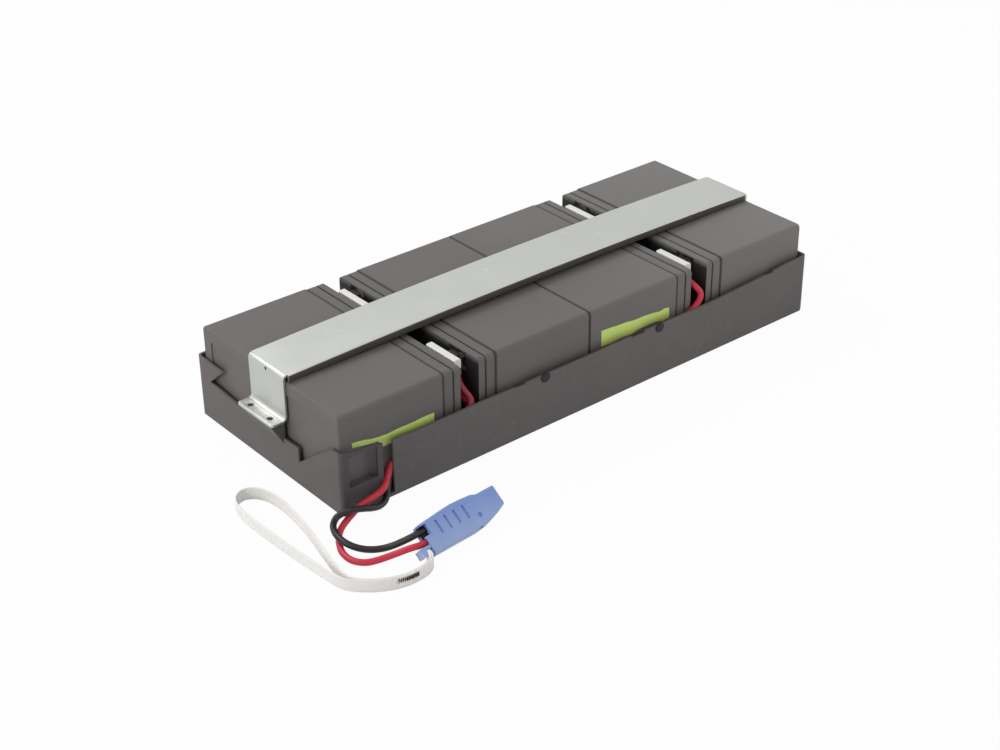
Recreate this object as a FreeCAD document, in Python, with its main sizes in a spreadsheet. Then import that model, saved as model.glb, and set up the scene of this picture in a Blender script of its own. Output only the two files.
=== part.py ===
import FreeCAD, Part
import Sketcher
import math
import os
import re
from FreeCAD import Rotation, Vector

# Battery cartridge for an uninterruptible power supply: four sealed lead-acid blocks lie on their
# sides in one row in a moulded tray, lids facing each other in two pairs. A folded steel bar
# clamps them down the middle, and two leads leave a slot in the tray for a two-pole connector.
# Frame: X along the row, Y across it, Z up. The origin is on the floor under the tray's middle.
# The front end, with the cable slot, is at -X, and the near side is -Y.

doc = FreeCAD.newDocument("battery_cartridge")

sheet = doc.addObject("Spreadsheet::Sheet", "Sizes")
ROWS = (
    # Sealed block, 12 V 9 Ah size: its length lies across the tray, its height along the row
    ("block_long", 151.0), ("block_thick", 65.0), ("block_tall", 94.0), ("lid_tall", 13.8),
    ("block_corner", 3.0), ("lid_inset", 0.4), ("lid_rim", 4.9), ("lid_groove", 1.6),
    ("lid_groove_deep", 1.2), ("lid_gap", 14.6), ("base_rib_deep", 0.8), ("base_rib_inset", 9.0),
    ("well_long", 17.0), ("well_thick", 13.0), ("well_deep", 4.0),
    ("vent_long", 78.0), ("vent_thick", 22.0), ("vent_high", 1.2), ("vent_recess", 0.6),
    ("terminal_in", 22.0), ("terminal_drop", 8.0), ("tab_wide", 6.35), ("tab_thin", 0.8),
    ("tab_out", 6.0), ("tab_foot", 9.0), ("tab_foot_thin", 1.2), ("tab_hole", 1.8),
    # Tray
    ("floor_thin", 3.0), ("tray_wall", 1.6), ("tray_high", 45.0), ("side_gap", 4.3),
    ("end_gap", 1.5), ("tray_corner", 4.0), ("tray_foot_round", 1.0),
    ("rib_high", 18.0), ("rib_wide", 2.0), ("rib_clear", 0.2), ("rib_pitch", 58.0),
    ("window_start", 2.0), ("window_long", 21.6), ("window_low", 20.0), ("window_high", 41.5),
    ("ledge_start", 3.0), ("ledge_long", 17.0), ("ledge_thick", 3.0),
    ("slot_start", 27.8), ("slot_long", 7.8), ("slot_low", 3.0),
    ("notch_one", 133.5), ("notch_one_long", 8.5), ("notch_one_deep", 5.5),
    ("notch_two", 235.8), ("notch_two_long", 12.2), ("notch_two_deep", 6.0),
    ("notch_three", 366.5), ("notch_three_long", 6.5), ("notch_three_deep", 2.6),
    ("peg_hole", 4.4), ("peg_one", 159.6), ("peg_two", 261.9), ("peg_drop", 6.0),
    ("gate_low", 28.0), ("gate_far", 142.0), ("gate_far_top", 125.0), ("gate_far_low", 30.5),
    ("gate_step", 41.0), ("gate_step_low", 18.0), ("gate_near_top", 4.5), ("gate_back_near", 41.0),
    ("shelf_wide", 34.0), ("shelf_out", 8.4), ("shelf_low", 24.0),
    # Hold-down bar, folded from sheet
    ("bar_wide", 41.8), ("bar_thin", 1.5), ("bar_rise", 5.0), ("bar_bow", 3.0), ("bar_shift", -1.4),
    ("bend_inner", 1.2), ("leg_clear", 0.3), ("foot_high", 41.5), ("foot_long", 11.0),
    ("foot_hole", 4.2), ("foot_hole_pitch", 22.0), ("foot_hole_out", 6.2), ("relief_hole", 2.4),
    ("skirt_relief", 4.0), ("foot_corner", 2.0),
    # Insulating shrouds and receptacles on the terminals
    ("shroud_long", 29.0), ("shroud_thin", 5.2), ("shroud_high", 12.0), ("shroud_clear", 1.4),
    ("shroud_edge", 1.0), ("tab_clear", 0.12), ("shroud_near_in", 8.0), ("shroud_far_in", 18.5),
    ("boot_wide", 8.6), ("boot_thin", 5.0), ("boot_high", 13.0), ("boot_clear", 0.4),
    # Leads
    ("lead_thick", 4.2), ("lead_sides", 8.0), ("deck_high", 34.0), ("deck_low", 29.2),
    # Connector and strap
    ("plug_long", 60.4), ("plug_wide", 21.4), ("plug_thick", 8.6), ("plug_shoulder", 43.0),
    ("plug_neck", 47.0), ("plug_front", 13.7), ("plug_front_side", 2.5), ("plug_taper", 27.0),
    ("plug_bulge", 1.0), ("plug_round", 1.4), ("plug_turn", 4.5), ("plug_roll", 38.0),
    ("plug_x", 12.3), ("plug_y", -72.2), ("pole_pitch", 7.0), ("pole_side", 2.2),
    ("bore_clear", 0.1), ("bore_deep", 8.0), ("mouth_wide", 5.2), ("mouth_high", 6.4),
    ("mouth_deep", 22.0), ("hood_wide", 11.4), ("hood_deep", 10.0),
    ("blade_long", 12.0), ("blade_back", 2.0), ("blade_wide", 4.0), ("blade_thin", 1.4),
    ("grip_count", 4.0), ("grip_start", 10.6), ("grip_pitch", 7.2), ("grip_wide", 2.0),
    ("grip_deep", 0.8), ("grip_long", 11.6), ("pin_hole", 4.0), ("pin_hole_at", 40.8),
    ("pin_hole_side", 3.0), ("pin_hole_deep", 1.0), ("hook_long", 8.0), ("hook_bar", 3.4),
    ("hook_in", 1.8), ("hook_wide", 5.2), ("hook_neck", 2.0),
    ("strap_wide", 8.5), ("strap_thin", 1.2), ("strap_at", 3.2),
)
for line, (alias, value) in enumerate(ROWS, start=1):
    sheet.set(f"A{line}", alias)
    sheet.set(f"B{line}", str(value))
    sheet.setAlias(f"B{line}", alias)
doc.recompute()

ALIASES = {alias for alias, value in ROWS}

# Lengths that several pieces share, each written once from the sheet's values
SHARED = {
    "half_row": "(2 * block_tall + lid_gap)",
    "half_long": "(block_long / 2)",
    "inner_x": "(half_row + end_gap)",
    "inner_y": "(half_long + side_gap)",
    "outer_x": "(inner_x + tray_wall)",
    "outer_y": "(inner_y + tray_wall)",
    "block_top": "(floor_thin + block_thick)",
    "bar_top": "(block_top + bar_rise)",
    "leg_in": "(half_row + leg_clear)",
    "leg_out": "(leg_in + bar_thin)",
    "foot_low": "(foot_high - bar_thin)",
    "bow_half": "(leg_out / 2)",
    "bow_high": "(0.75 * bar_bow)",
    "bow_start": "(1.5 * bar_bow * (skirt_relief + bar_thin) / leg_out)",
    "terminal_high": "(block_top - terminal_drop)",
}


def spelled(text):
    """Writes a length in full: shared names become sums, and sheet names become cell links."""
    while True:
        wider = re.sub(r"[a-z_]+", lambda m: SHARED.get(m.group(0), m.group(0)), text)
        if wider == text:
            break
        text = wider
    return re.sub(r"[a-z_]+", lambda m: "Sizes." + m.group(0) if m.group(0) in ALIASES else m.group(0), text)


def length(text):
    """Works out a length from the sheet's values."""
    plain = spelled(text).replace("Sizes.", "")
    total = sheet_maths(plain)
    return total


def sheet_maths(plain):
    """Adds up sums, products and brackets of sheet names and numbers."""
    marks = re.findall(r"[a-z_]+|\d+\.?\d*|[-+*/()]", plain)

    def atom():
        mark = marks.pop(0)
        if mark == "(":
            inside = total()
            marks.pop(0)
            return inside
        if mark == "-":
            return -atom()
        if mark in ALIASES:
            return float(sheet.get(mark))
        return float(mark)

    def product():
        value = atom()
        while marks and marks[0] in "*/":
            if marks.pop(0) == "*":
                value *= atom()
            else:
                value /= atom()
        return value

    def total():
        value = product()
        while marks and marks[0] in "+-":
            if marks.pop(0) == "+":
                value += product()
            else:
                value -= product()
        return value

    return total()


def bind(item, **links):
    """Binds an object's sizes, and x, y, z of its Placement, to lengths of the sheet."""
    for name, text in links.items():
        path = f"Placement.Base.{name}" if name in ("x", "y", "z") else name
        item.setExpression(path, spelled(text))
    return item


def body_of(name):
    body = doc.addObject("PartDesign::Body", name)
    body.Label = name
    return body


def outline(body, name, plane, points, offset="0"):
    """Draws a closed outline on a plane of the body, each corner tied to the sheet."""
    sketch = body.newObject("Sketcher::SketchObject", name)
    face = [f for f in body.Origin.OriginFeatures if f.Role == plane][0]
    sketch.AttachmentSupport = [(face, "")]
    sketch.MapMode = "FlatFace"
    sketch.setExpression("AttachmentOffset.Base.z", spelled(offset))
    corners = [(length(x), length(y)) for x, y in points]
    count = len(corners)
    for i in range(count):
        start = Vector(*corners[i], 0)
        end = Vector(*corners[(i + 1) % count], 0)
        sketch.addGeometry(Part.LineSegment(start, end), False)
    for i, (x, y) in enumerate(points):
        sketch_coincide(sketch, i, (i + 1) % count)
        tie_point(sketch, i, 1, x, y)
    return sketch


def sketch_coincide(sketch, one, two):
    sketch.addConstraint(Sketcher.Constraint("Coincident", one, 2, two, 1))


def tie_point(sketch, item, vertex, x, y):
    """Fixes one sketch point at a place given by two lengths of the sheet."""
    across = sketch.addConstraint(Sketcher.Constraint("DistanceX", -1, 1, item, vertex, length(x)))
    sketch.setExpression(f"Constraints[{across}]", spelled(x))
    along = sketch.addConstraint(Sketcher.Constraint("DistanceY", -1, 1, item, vertex, length(y)))
    sketch.setExpression(f"Constraints[{along}]", spelled(y))


def circles(body, name, plane, centres, diameter, offset="0"):
    """Draws circles of one diameter on a plane of the body."""
    sketch = body.newObject("Sketcher::SketchObject", name)
    face = [f for f in body.Origin.OriginFeatures if f.Role == plane][0]
    sketch.AttachmentSupport = [(face, "")]
    sketch.MapMode = "FlatFace"
    sketch.setExpression("AttachmentOffset.Base.z", spelled(offset))
    for i, (x, y) in enumerate(centres):
        centre = Vector(length(x), length(y), 0)
        sketch.addGeometry(Part.Circle(centre, Vector(0, 0, 1), length(diameter) / 2), False)
        tie_point(sketch, i, 3, x, y)
        width = sketch.addConstraint(Sketcher.Constraint("Diameter", i, length(diameter)))
        sketch.setExpression(f"Constraints[{width}]", spelled(diameter))
    return sketch


def pad(body, name, sketch, distance, both=False, back=False):
    item = body.newObject("PartDesign::Pad", name)
    item.Profile = sketch
    item.setExpression("Length", spelled(distance))
    item.Midplane = both
    item.Reversed = back
    body.Tip = item
    return item


def pocket(body, name, sketch, distance=None, both=False, back=False):
    item = body.newObject("PartDesign::Pocket", name)
    item.Profile = sketch
    if distance is None:
        item.Type = 1
    else:
        item.setExpression("Length", spelled(distance))
    item.Midplane = both
    item.Reversed = back
    body.Tip = item
    return item


def edges_where(shape, wanted):
    return [f"Edge{i + 1}" for i, edge in enumerate(shape.Edges) if wanted(edge)]


def runs_along(edge, axis):
    """True for a straight edge that runs along one axis."""
    if edge.Curve.TypeId != "Part::GeomLine":
        return False
    return abs(abs(edge.Curve.Direction.dot(axis)) - 1) < 1e-6


def fillet(body, name, base, wanted, radius):
    """Rounds the chosen edges of the body's last feature."""
    doc.recompute()
    item = body.newObject("PartDesign::Fillet", name)
    item.Base = (base, edges_where(base.Shape, wanted))
    item.setExpression("Radius", spelled(radius))
    body.Tip = item
    return item


X_AXIS = Vector(1, 0, 0)
Y_AXIS = Vector(0, 1, 0)
Z_AXIS = Vector(0, 0, 1)
pieces = []


def keep(item, name):
    item.Label = name
    pieces.append(item)
    return item


# The tray is one moulding. Its ends are cut down for the legs of the bar, the front one with a
# deeper corner beside the cable slot, and small notches and peg holes line the top of the sides.
tray = keep(body_of("tray"), "tray")
plan = outline(tray, "tray_plan", "XY_Plane", [
    ("-outer_x", "-outer_y"), ("outer_x", "-outer_y"), ("outer_x", "outer_y"), ("-outer_x", "outer_y")])
shell = pad(tray, "tray_block", plan, "tray_high")
hollow = outline(tray, "tray_inside", "XY_Plane", [
    ("-inner_x", "-inner_y"), ("inner_x", "-inner_y"), ("inner_x", "inner_y"), ("-inner_x", "inner_y")],
    offset="tray_high")
shell = pocket(tray, "tray_hollow", hollow, "tray_high - floor_thin")


def wall_corner(edge, x):
    return runs_along(edge, Z_AXIS) and abs(abs(edge.BoundBox.Center.x) - length(x)) < 1e-3


shell = fillet(tray, "tray_inner_corners", shell, lambda e: wall_corner(e, "inner_x"),
               "tray_corner - tray_wall")
shell = fillet(tray, "tray_corners", shell, lambda e: wall_corner(e, "outer_x"), "tray_corner")
fillet(tray, "tray_foot", shell, lambda e: e.BoundBox.ZMax < 1e-6, "tray_foot_round")

# Low ribs stand between the side walls and the blocks, below the wires that run along the side
for side, sign in (("near", "-"), ("far", "")):
    wall = f"{sign}inner_y"
    stop = f"{sign}(half_long + rib_clear)"
    rib_sketch = outline(tray, f"rib_{side}_plan", "XY_Plane", [
        ("-2.5 * rib_pitch", wall), ("-2.5 * rib_pitch + rib_wide", wall),
        ("-2.5 * rib_pitch + rib_wide", stop), ("-2.5 * rib_pitch", stop)], offset="floor_thin / 2")
    rib = pad(tray, f"rib_{side}", rib_sketch, "rib_high + floor_thin / 2")
    row = tray.newObject("PartDesign::LinearPattern", f"ribs_{side}")
    row.Originals = [rib]
    row.Direction = (rib_sketch, ["H_Axis"])
    row.setExpression("Length", spelled("5 * rib_pitch"))
    row.Occurrences = 6
    tray.Tip = row

# Window and cable slot beside the front corner, then the notches along the near side's top edge
front = "-half_row"
window = outline(tray, "window_outline", "XZ_Plane", [
    (f"{front} + window_start", "window_low"), (f"{front} + window_start + window_long", "window_low"),
    (f"{front} + window_start + window_long", "window_high"), (f"{front} + window_start", "window_high")])
pocket(tray, "window", window, back=True)
slot = outline(tray, "slot_outline", "XZ_Plane", [
    (f"{front} + slot_start", "slot_low"), (f"{front} + slot_start + slot_long", "slot_low"),
    (f"{front} + slot_start + slot_long", "tray_high + 1"), (f"{front} + slot_start", "tray_high + 1")])
pocket(tray, "cable_slot", slot, back=True)
for word in ("one", "two", "three"):
    low = f"tray_high - notch_{word}_deep"
    start = f"{front} + notch_{word}"
    notch = outline(tray, f"notch_{word}_outline", "XZ_Plane", [
        (start, low), (f"{start} + notch_{word}_long", low),
        (f"{start} + notch_{word}_long", "tray_high + 1"), (start, "tray_high + 1")])
    pocket(tray, f"notch_{word}_cut", notch, back=True)
pegs = circles(tray, "peg_centres", "XZ_Plane", [
    (f"{front} + peg_one", "tray_high - peg_drop"),
    (f"{front} + peg_two", "tray_high - peg_drop")], "peg_hole")
pocket(tray, "peg_holes", pegs, back=True)

# Ledge in the corner behind the window
ledge = outline(tray, "ledge_plan", "XY_Plane", [
    (f"{front} + ledge_start", "-inner_y"), (f"{front} + ledge_start + ledge_long", "-inner_y"),
    (f"{front} + ledge_start + ledge_long", "-half_long - rib_clear"),
    (f"{front} + ledge_start", "-half_long - rib_clear")], offset="window_low")
pad(tray, "ledge", ledge, "ledge_thick", back=True)

# End gates. Y counts from the near face of the blocks.
near = "-half_long"
gate = outline(tray, "gate_front_outline", "YZ_Plane", [
    (f"{near} + gate_near_top", "tray_high + 1"), (f"{near} + gate_near_top", "tray_high"),
    (f"{near} + gate_step", "gate_step_low"), (f"{near} + gate_step", "gate_low"),
    (f"{near} + gate_far - 30", "gate_low"), (f"{near} + gate_far", "gate_far_low"),
    (f"{near} + gate_far_top", "tray_high"), (f"{near} + gate_far_top", "tray_high + 1")])
pocket(tray, "gate_front", gate, back=False)
back_gate = outline(tray, "gate_back_outline", "YZ_Plane", [
    (f"{near} + gate_back_near", "gate_low"), (f"{near} + gate_far - 17", "gate_low"),
    (f"{near} + gate_far_top", "tray_high + 1"), (f"{near} + gate_back_near", "tray_high + 1")])
pocket(tray, "gate_back", back_gate, back=True)

# Shelves under the feet of the bar, one at each end
for end, sign in (("front", "-"), ("back", "")):
    shelf_plan = outline(tray, f"shelf_{end}_side", "XZ_Plane", [
        (f"{sign}(outer_x - tray_wall)", "shelf_low"), (f"{sign}outer_x", "shelf_low"),
        (f"{sign}(outer_x + shelf_out)", "foot_low - bar_thin"), (f"{sign}(outer_x + shelf_out)", "foot_low"),
        (f"{sign}(leg_out + bend_inner)", "foot_low"),
        (f"{sign}(leg_out + bend_inner)", "foot_low - bar_thin"),
        (f"{sign}(outer_x - tray_wall)", "foot_low - bar_thin")], offset="-bar_shift")
    pad(tray, f"shelf_{end}", shelf_plan, "shelf_wide", both=True)
    holes = circles(tray, f"shelf_{end}_holes", "XY_Plane", [
        (f"{sign}(leg_out + foot_hole_out)", "bar_shift - foot_hole_pitch / 2"),
        (f"{sign}(leg_out + foot_hole_out)", "bar_shift + foot_hole_pitch / 2")],
        "foot_hole / 2", offset="foot_low")
    pocket(tray, f"shelf_{end}_pilots", holes, "3 * bar_thin")

# Four sealed blocks. Each lies on its long side with its base toward one end of the tray.
# Odd blocks face +X and even ones -X, so the lids of a pair look at each other across a gap.
PLACES = (("1", "-half_row", 0.0), ("2", "0", 180.0), ("3", "0", 0.0), ("4", "half_row", 180.0))


def ring(inset):
    """Corners of a block's end view, inset on every side, in the block's own frame."""
    side = f"(half_long - ({inset}))"
    low = f"({inset})"
    high = f"(block_thick - ({inset}))"
    return [(f"-{side}", low), (side, low), (side, high), (f"-{side}", high)]


def seated(body, place, turn):
    body.Placement = FreeCAD.Placement(Vector(0, 0, 0), Rotation(Z_AXIS, turn))
    bind(body, x=place, z="floor_thin")
    return body


for number, place, turn in PLACES:
    case = keep(body_of(f"battery_case_{number}"), f"battery_case_{number}")
    foot = outline(case, f"case_{number}_end", "YZ_Plane", ring("0"))
    block = pad(case, f"case_{number}_block", foot, "block_tall - lid_tall")
    block = fillet(case, f"case_{number}_corners", block, lambda e: runs_along(e, X_AXIS), "block_corner")
    panel = outline(case, f"case_{number}_panel", "YZ_Plane", ring("base_rib_inset"))
    pocket(case, f"case_{number}_base", panel, "base_rib_deep", back=True)
    seated(case, place, turn)

    lid = keep(body_of(f"battery_lid_{number}"), f"battery_lid_{number}")
    skirt = outline(lid, f"lid_{number}_skirt_end", "YZ_Plane", ring("lid_inset"),
                    offset="block_tall - lid_tall")
    low = pad(lid, f"lid_{number}_skirt", skirt, "lid_tall - lid_rim - lid_groove")
    low = fillet(lid, f"lid_{number}_skirt_corners", low, lambda e: runs_along(e, X_AXIS), "block_corner")
    neck = outline(lid, f"lid_{number}_neck_end", "YZ_Plane", ring("lid_inset + lid_groove_deep"),
                   offset="block_tall - lid_rim - lid_groove")
    pad(lid, f"lid_{number}_neck", neck, "lid_groove")
    rim = outline(lid, f"lid_{number}_rim_end", "YZ_Plane", ring("lid_inset"), offset="block_tall - lid_rim")
    top = pad(lid, f"lid_{number}_rim", rim, "lid_rim")

    def rim_corner(edge):
        middle = edge.BoundBox.Center
        return runs_along(edge, X_AXIS) and middle.x > length("block_tall - lid_rim")

    fillet(lid, f"lid_{number}_rim_corners", top, rim_corner, "block_corner")
    wells = []
    for hand, sign in (("left", "-"), ("right", "")):
        middle = f"{sign}(half_long - terminal_in)"
        well = outline(lid, f"lid_{number}_well_{hand}_end", "YZ_Plane", [
            (f"{middle} - well_long / 2", "block_thick - terminal_drop - well_thick / 2"),
            (f"{middle} + well_long / 2", "block_thick - terminal_drop - well_thick / 2"),
            (f"{middle} + well_long / 2", "block_thick - terminal_drop + well_thick / 2"),
            (f"{middle} - well_long / 2", "block_thick - terminal_drop + well_thick / 2")],
            offset="block_tall")
        pocket(lid, f"lid_{number}_well_{hand}", well, "well_deep")
    seat = outline(lid, f"lid_{number}_vent_seat_end", "YZ_Plane", [
        ("-vent_long / 2", "(block_thick - vent_thick) / 2"),
        ("vent_long / 2", "(block_thick - vent_thick) / 2"),
        ("vent_long / 2", "(block_thick + vent_thick) / 2"),
        ("-vent_long / 2", "(block_thick + vent_thick) / 2")],
        offset="block_tall")
    pocket(lid, f"lid_{number}_vent_seat", seat, "vent_recess")
    seated(lid, place, turn)

    # The vent strip is welded over the cells' valves after filling
    vent = keep(body_of(f"vent_strip_{number}"), f"vent_strip_{number}")
    strip = outline(vent, f"vent_{number}_end", "YZ_Plane", [
        ("-vent_long / 2", "(block_thick - vent_thick) / 2"),
        ("vent_long / 2", "(block_thick - vent_thick) / 2"),
        ("vent_long / 2", "(block_thick + vent_thick) / 2"),
        ("-vent_long / 2", "(block_thick + vent_thick) / 2")],
        offset="block_tall - vent_recess")
    pad(vent, f"vent_{number}_plate", strip, "vent_high")
    seated(vent, place, turn)

    # Two flat tabs rise from the wells of the lid, each on a wider foot
    blades = []
    for hand, sign in (("left", "-"), ("right", "")):
        foot_plate = doc.addObject("Part::Box", f"tab_foot_{number}_{hand}")
        bind(foot_plate, Length="tab_foot_thin", Width="tab_foot", Height="tab_foot",
             x="block_tall - well_deep", y=f"{sign}(half_long - terminal_in) - tab_foot / 2",
             z="block_thick - terminal_drop - tab_foot / 2")
        blade = doc.addObject("Part::Box", f"tab_blade_{number}_{hand}")
        bind(blade, Length="well_deep + tab_out", Width="tab_wide", Height="tab_thin",
             x="block_tall - well_deep", y=f"{sign}(half_long - terminal_in) - tab_wide / 2",
             z="block_thick - terminal_drop - tab_thin / 2")
        hole = doc.addObject("Part::Cylinder", f"tab_hole_{number}_{hand}")
        bind(hole, Radius="tab_hole / 2", Height="3 * tab_thin",
             x="block_tall + tab_out - tab_wide / 2", y=f"{sign}(half_long - terminal_in)",
             z="block_thick - terminal_drop - 1.5 * tab_thin")
        solid = doc.addObject("Part::Fuse", f"tab_solid_{number}_{hand}")
        solid.Base = foot_plate
        solid.Tool = blade
        drilled = doc.addObject("Part::Cut", f"tab_{number}_{hand}")
        drilled.Base = solid
        drilled.Tool = hole
        blades.append(drilled)
    tabs = doc.addObject("Part::Compound", f"terminals_{number}")
    tabs.Links = blades
    seated(keep(tabs, f"terminals_{number}"), place, turn)

# The hold-down bar is one strip of zinc-plated sheet: a top that bows up a little between its legs,
# its long edges folded down towards the blocks, a leg at each end inside the gate of the tray,
# and a foot turned outward.
bar = keep(body_of("hold_down_bar"), "hold_down_bar")
strip = outline(bar, "bar_side", "XZ_Plane", [
    ("-leg_out - foot_long", "foot_low"), ("-leg_in", "foot_low"),
    ("-leg_in", "bar_top - bar_thin"), ("-bow_half", "bar_top - bar_thin + bow_high"),
    ("0", "bar_top - bar_thin + bar_bow"), ("bow_half", "bar_top - bar_thin + bow_high"),
    ("leg_in", "bar_top - bar_thin"),
    ("leg_in", "foot_low"), ("leg_out + foot_long", "foot_low"),
    ("leg_out + foot_long", "foot_high"), ("leg_out", "foot_high"),
    ("leg_out", "bar_top"), ("bow_half", "bar_top + bow_high"), ("0", "bar_top + bar_bow"),
    ("-bow_half", "bar_top + bow_high"), ("-leg_out", "bar_top"),
    ("-leg_out", "foot_high"), ("-leg_out - foot_long", "foot_high")])
folded = pad(bar, "bar_strip", strip, "bar_wide - 2 * bar_thin", both=True)


def bend(edge, x, z):
    middle = edge.BoundBox.Center
    beside = abs(abs(middle.x) - length(x)) < 1e-3
    return runs_along(edge, Y_AXIS) and beside and abs(middle.z - length(z)) < 1e-3


folded = fillet(bar, "bends_inside", folded, lambda e: (
    bend(e, "leg_in", "bar_top - bar_thin") or bend(e, "leg_out", "foot_high")), "bend_inner")
folded = fillet(bar, "bends_outside", folded, lambda e: (
    bend(e, "leg_out", "bar_top") or bend(e, "leg_in", "foot_low")), "bend_inner + bar_thin")


def foot_tip(edge):
    middle = edge.BoundBox.Center
    return runs_along(edge, Z_AXIS) and abs(middle.x) > length("leg_out + foot_long") - 1e-3


folded = fillet(bar, "foot_corners", folded, foot_tip, "foot_corner")
skirt_end = "(leg_in - skirt_relief)"
for side, plane in (("near", "bar_wide / 2 - bar_thin"), ("far", "-bar_wide / 2")):
    edge_fold = outline(bar, f"skirt_{side}_side", "XZ_Plane", [
        (f"-{skirt_end}", "block_top + bow_start"), ("-bow_half", "block_top + bow_high"),
        ("0", "block_top + bar_bow"), ("bow_half", "block_top + bow_high"),
        (skirt_end, "block_top + bow_start"), (skirt_end, "bar_top + bow_start"),
        ("bow_half", "bar_top + bow_high"), ("0", "bar_top + bar_bow"),
        ("-bow_half", "bar_top + bow_high"), (f"-{skirt_end}", "bar_top + bow_start")], offset=plane)
    pad(bar, f"skirt_{side}", edge_fold, "bar_thin")


def skirt_top(edge):
    ends = [vertex.Point for vertex in edge.Vertexes]
    if len(ends) < 2 or edge.Curve.TypeId != "Part::GeomLine":
        return False
    return (all(abs(abs(end.y) - length("bar_wide / 2")) < 1e-3 for end in ends)
            and min(end.z for end in ends) > length("bar_top") - 1e-3)


folded = fillet(bar, "skirt_bends", bar.Tip, skirt_top, "bend_inner")
foot_centres = [(f"{sign}(leg_out + foot_hole_out)", f"{hand}foot_hole_pitch / 2")
                for sign in ("-", "") for hand in ("-", "")]
foot_drill = circles(bar, "foot_hole_centres", "XY_Plane", foot_centres, "foot_hole", offset="foot_high + 1")
pocket(bar, "foot_holes", foot_drill, "bar_thin + 2")
relief = circles(bar, "relief_centre", "YZ_Plane", [("0", "bar_top - bar_thin - relief_hole / 2")],
                 "relief_hole",
                 offset="-leg_out - foot_long")
pocket(bar, "relief_holes", relief, "2 * (leg_out + foot_long)", back=True)
bind(bar, y="bar_shift")

# White insulating shrouds cover the terminals of blocks 1 and 3, near the top of the gap, and
# dark boots cover those of blocks 2 and 4. Each has a slit that the tab enters.
for number, place in (("1", "-half_row"), ("3", "0")):
    for side, start in (("near", "shroud_near_in - half_long"),
                        ("far", "half_long - shroud_far_in - shroud_long")):
        tab_y = "-half_long + terminal_in" if side == "near" else "half_long - terminal_in"
        block = doc.addObject("Part::Box", f"shroud_{number}_{side}_block")
        bind(block, Length="shroud_thin", Width="shroud_long", Height="shroud_high",
             x=f"{place} + block_tall + shroud_clear", y=start, z="block_top - shroud_high")
        doc.recompute()
        soft = doc.addObject("Part::Fillet", f"shroud_{number}_{side}_round")
        soft.Base = block
        soft.Edges = [(i + 1, length("shroud_edge"), length("shroud_edge"))
                      for i, edge in enumerate(block.Shape.Edges) if runs_along(edge, Y_AXIS)]
        slit = doc.addObject("Part::Box", f"shroud_{number}_{side}_slit")
        bind(slit, Length="tab_out - shroud_clear + 2 * tab_clear", Width="tab_wide + 2 * tab_clear",
             Height="tab_thin + 2 * tab_clear", x=f"{place} + block_tall + shroud_clear - tab_clear",
             y=f"{tab_y} - tab_wide / 2 - tab_clear", z="terminal_high - tab_thin / 2 - tab_clear")
        cover = doc.addObject("Part::Cut", f"shroud_{number}_{side}")
        cover.Base = soft
        cover.Tool = slit
        keep(cover, f"terminal_shroud_{number}_{side}")
for number, place in (("2", "0"), ("4", "half_row")):
    for side, sign in (("near", "-"), ("far", "")):
        tab_y = f"{sign}(half_long - terminal_in)"
        block = doc.addObject("Part::Box", f"boot_{number}_{side}_block")
        bind(block, Length="boot_thin", Width="boot_wide", Height="boot_high",
             x=f"{place} - block_tall - boot_clear - boot_thin", y=f"{tab_y} - boot_wide / 2",
             z="terminal_high + boot_wide / 2 - boot_high")
        doc.recompute()
        soft = doc.addObject("Part::Fillet", f"boot_{number}_{side}_round")
        soft.Base = block
        soft.Edges = [(i + 1, length("shroud_edge"), length("shroud_edge"))
                      for i, edge in enumerate(block.Shape.Edges) if runs_along(edge, Z_AXIS)]
        slit = doc.addObject("Part::Box", f"boot_{number}_{side}_slit")
        bind(slit, Length="boot_thin + 2 * tab_clear", Width="tab_wide + 2 * tab_clear",
             Height="tab_thin + 2 * tab_clear",
              x=f"{place} - block_tall - boot_clear - boot_thin - tab_clear",
             y=f"{tab_y} - tab_wide / 2 - tab_clear", z="terminal_high - tab_thin / 2 - tab_clear")
        cover = doc.addObject("Part::Cut", f"boot_{number}_{side}")
        cover.Base = soft
        cover.Tool = slit
        keep(cover, f"terminal_boot_{number}_{side}")


def route_wire(points):
    """Straight runs joined by tangent arcs, each as large as its two runs allow."""
    edges = []
    start = points[0]
    radii = []
    for i in range(1, len(points) - 1):
        before = points[i - 1] - points[i]
        after = points[i + 1] - points[i]
        short = min(before.Length, after.Length)
        turn = math.pi - before.getAngle(after)
        reach = 0.45 * short
        radii.append(reach / math.tan(turn / 2))
        before.normalize()
        after.normalize()
        first = points[i] + before * reach
        last = points[i] + after * reach
        inward = (before + after).normalize()
        depth = reach * (1 / math.sin(turn / 2) - 1 / math.tan(turn / 2))
        middle = points[i] + inward * depth
        edges.append(Part.LineSegment(start, first).toShape())
        edges.append(Part.Arc(first, middle, last).toShape())
        start = last
    edges.append(Part.LineSegment(start, points[-1]).toShape())
    return Part.Wire(edges), radii


def lead(name, points, diameter):
    """An insulated lead along a route, checked against its section times its length."""
    wire, radii = route_wire(points)
    heading = points[1] - points[0]
    sides = int(length("lead_sides"))
    section = Part.Circle(points[0], heading, diameter / 2)
    corners = [section.value(2 * math.pi * (i + 0.5) / sides) for i in range(sides)]
    outline_wire = Part.makePolygon(corners + [corners[0]])
    solid = wire.makePipeShell([outline_wire], True, True)
    item = doc.addObject("Part::Feature", name)
    item.Shape = solid
    item.Placement = FreeCAD.Placement()
    keep(item, name)
    ideal = Part.Face(outline_wire).Area * wire.Length
    print(f"{name}: {wire.Length:.1f} mm long, radii {[round(r, 1) for r in radii]}, "
          f"volume {solid.Volume / ideal:.4f} of section times length")
    return item


def at(x, y, z):
    """A point counted from the front end and near face of the blocks."""
    return Vector(x - length("half_row"), y - length("half_long"), z)


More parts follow.
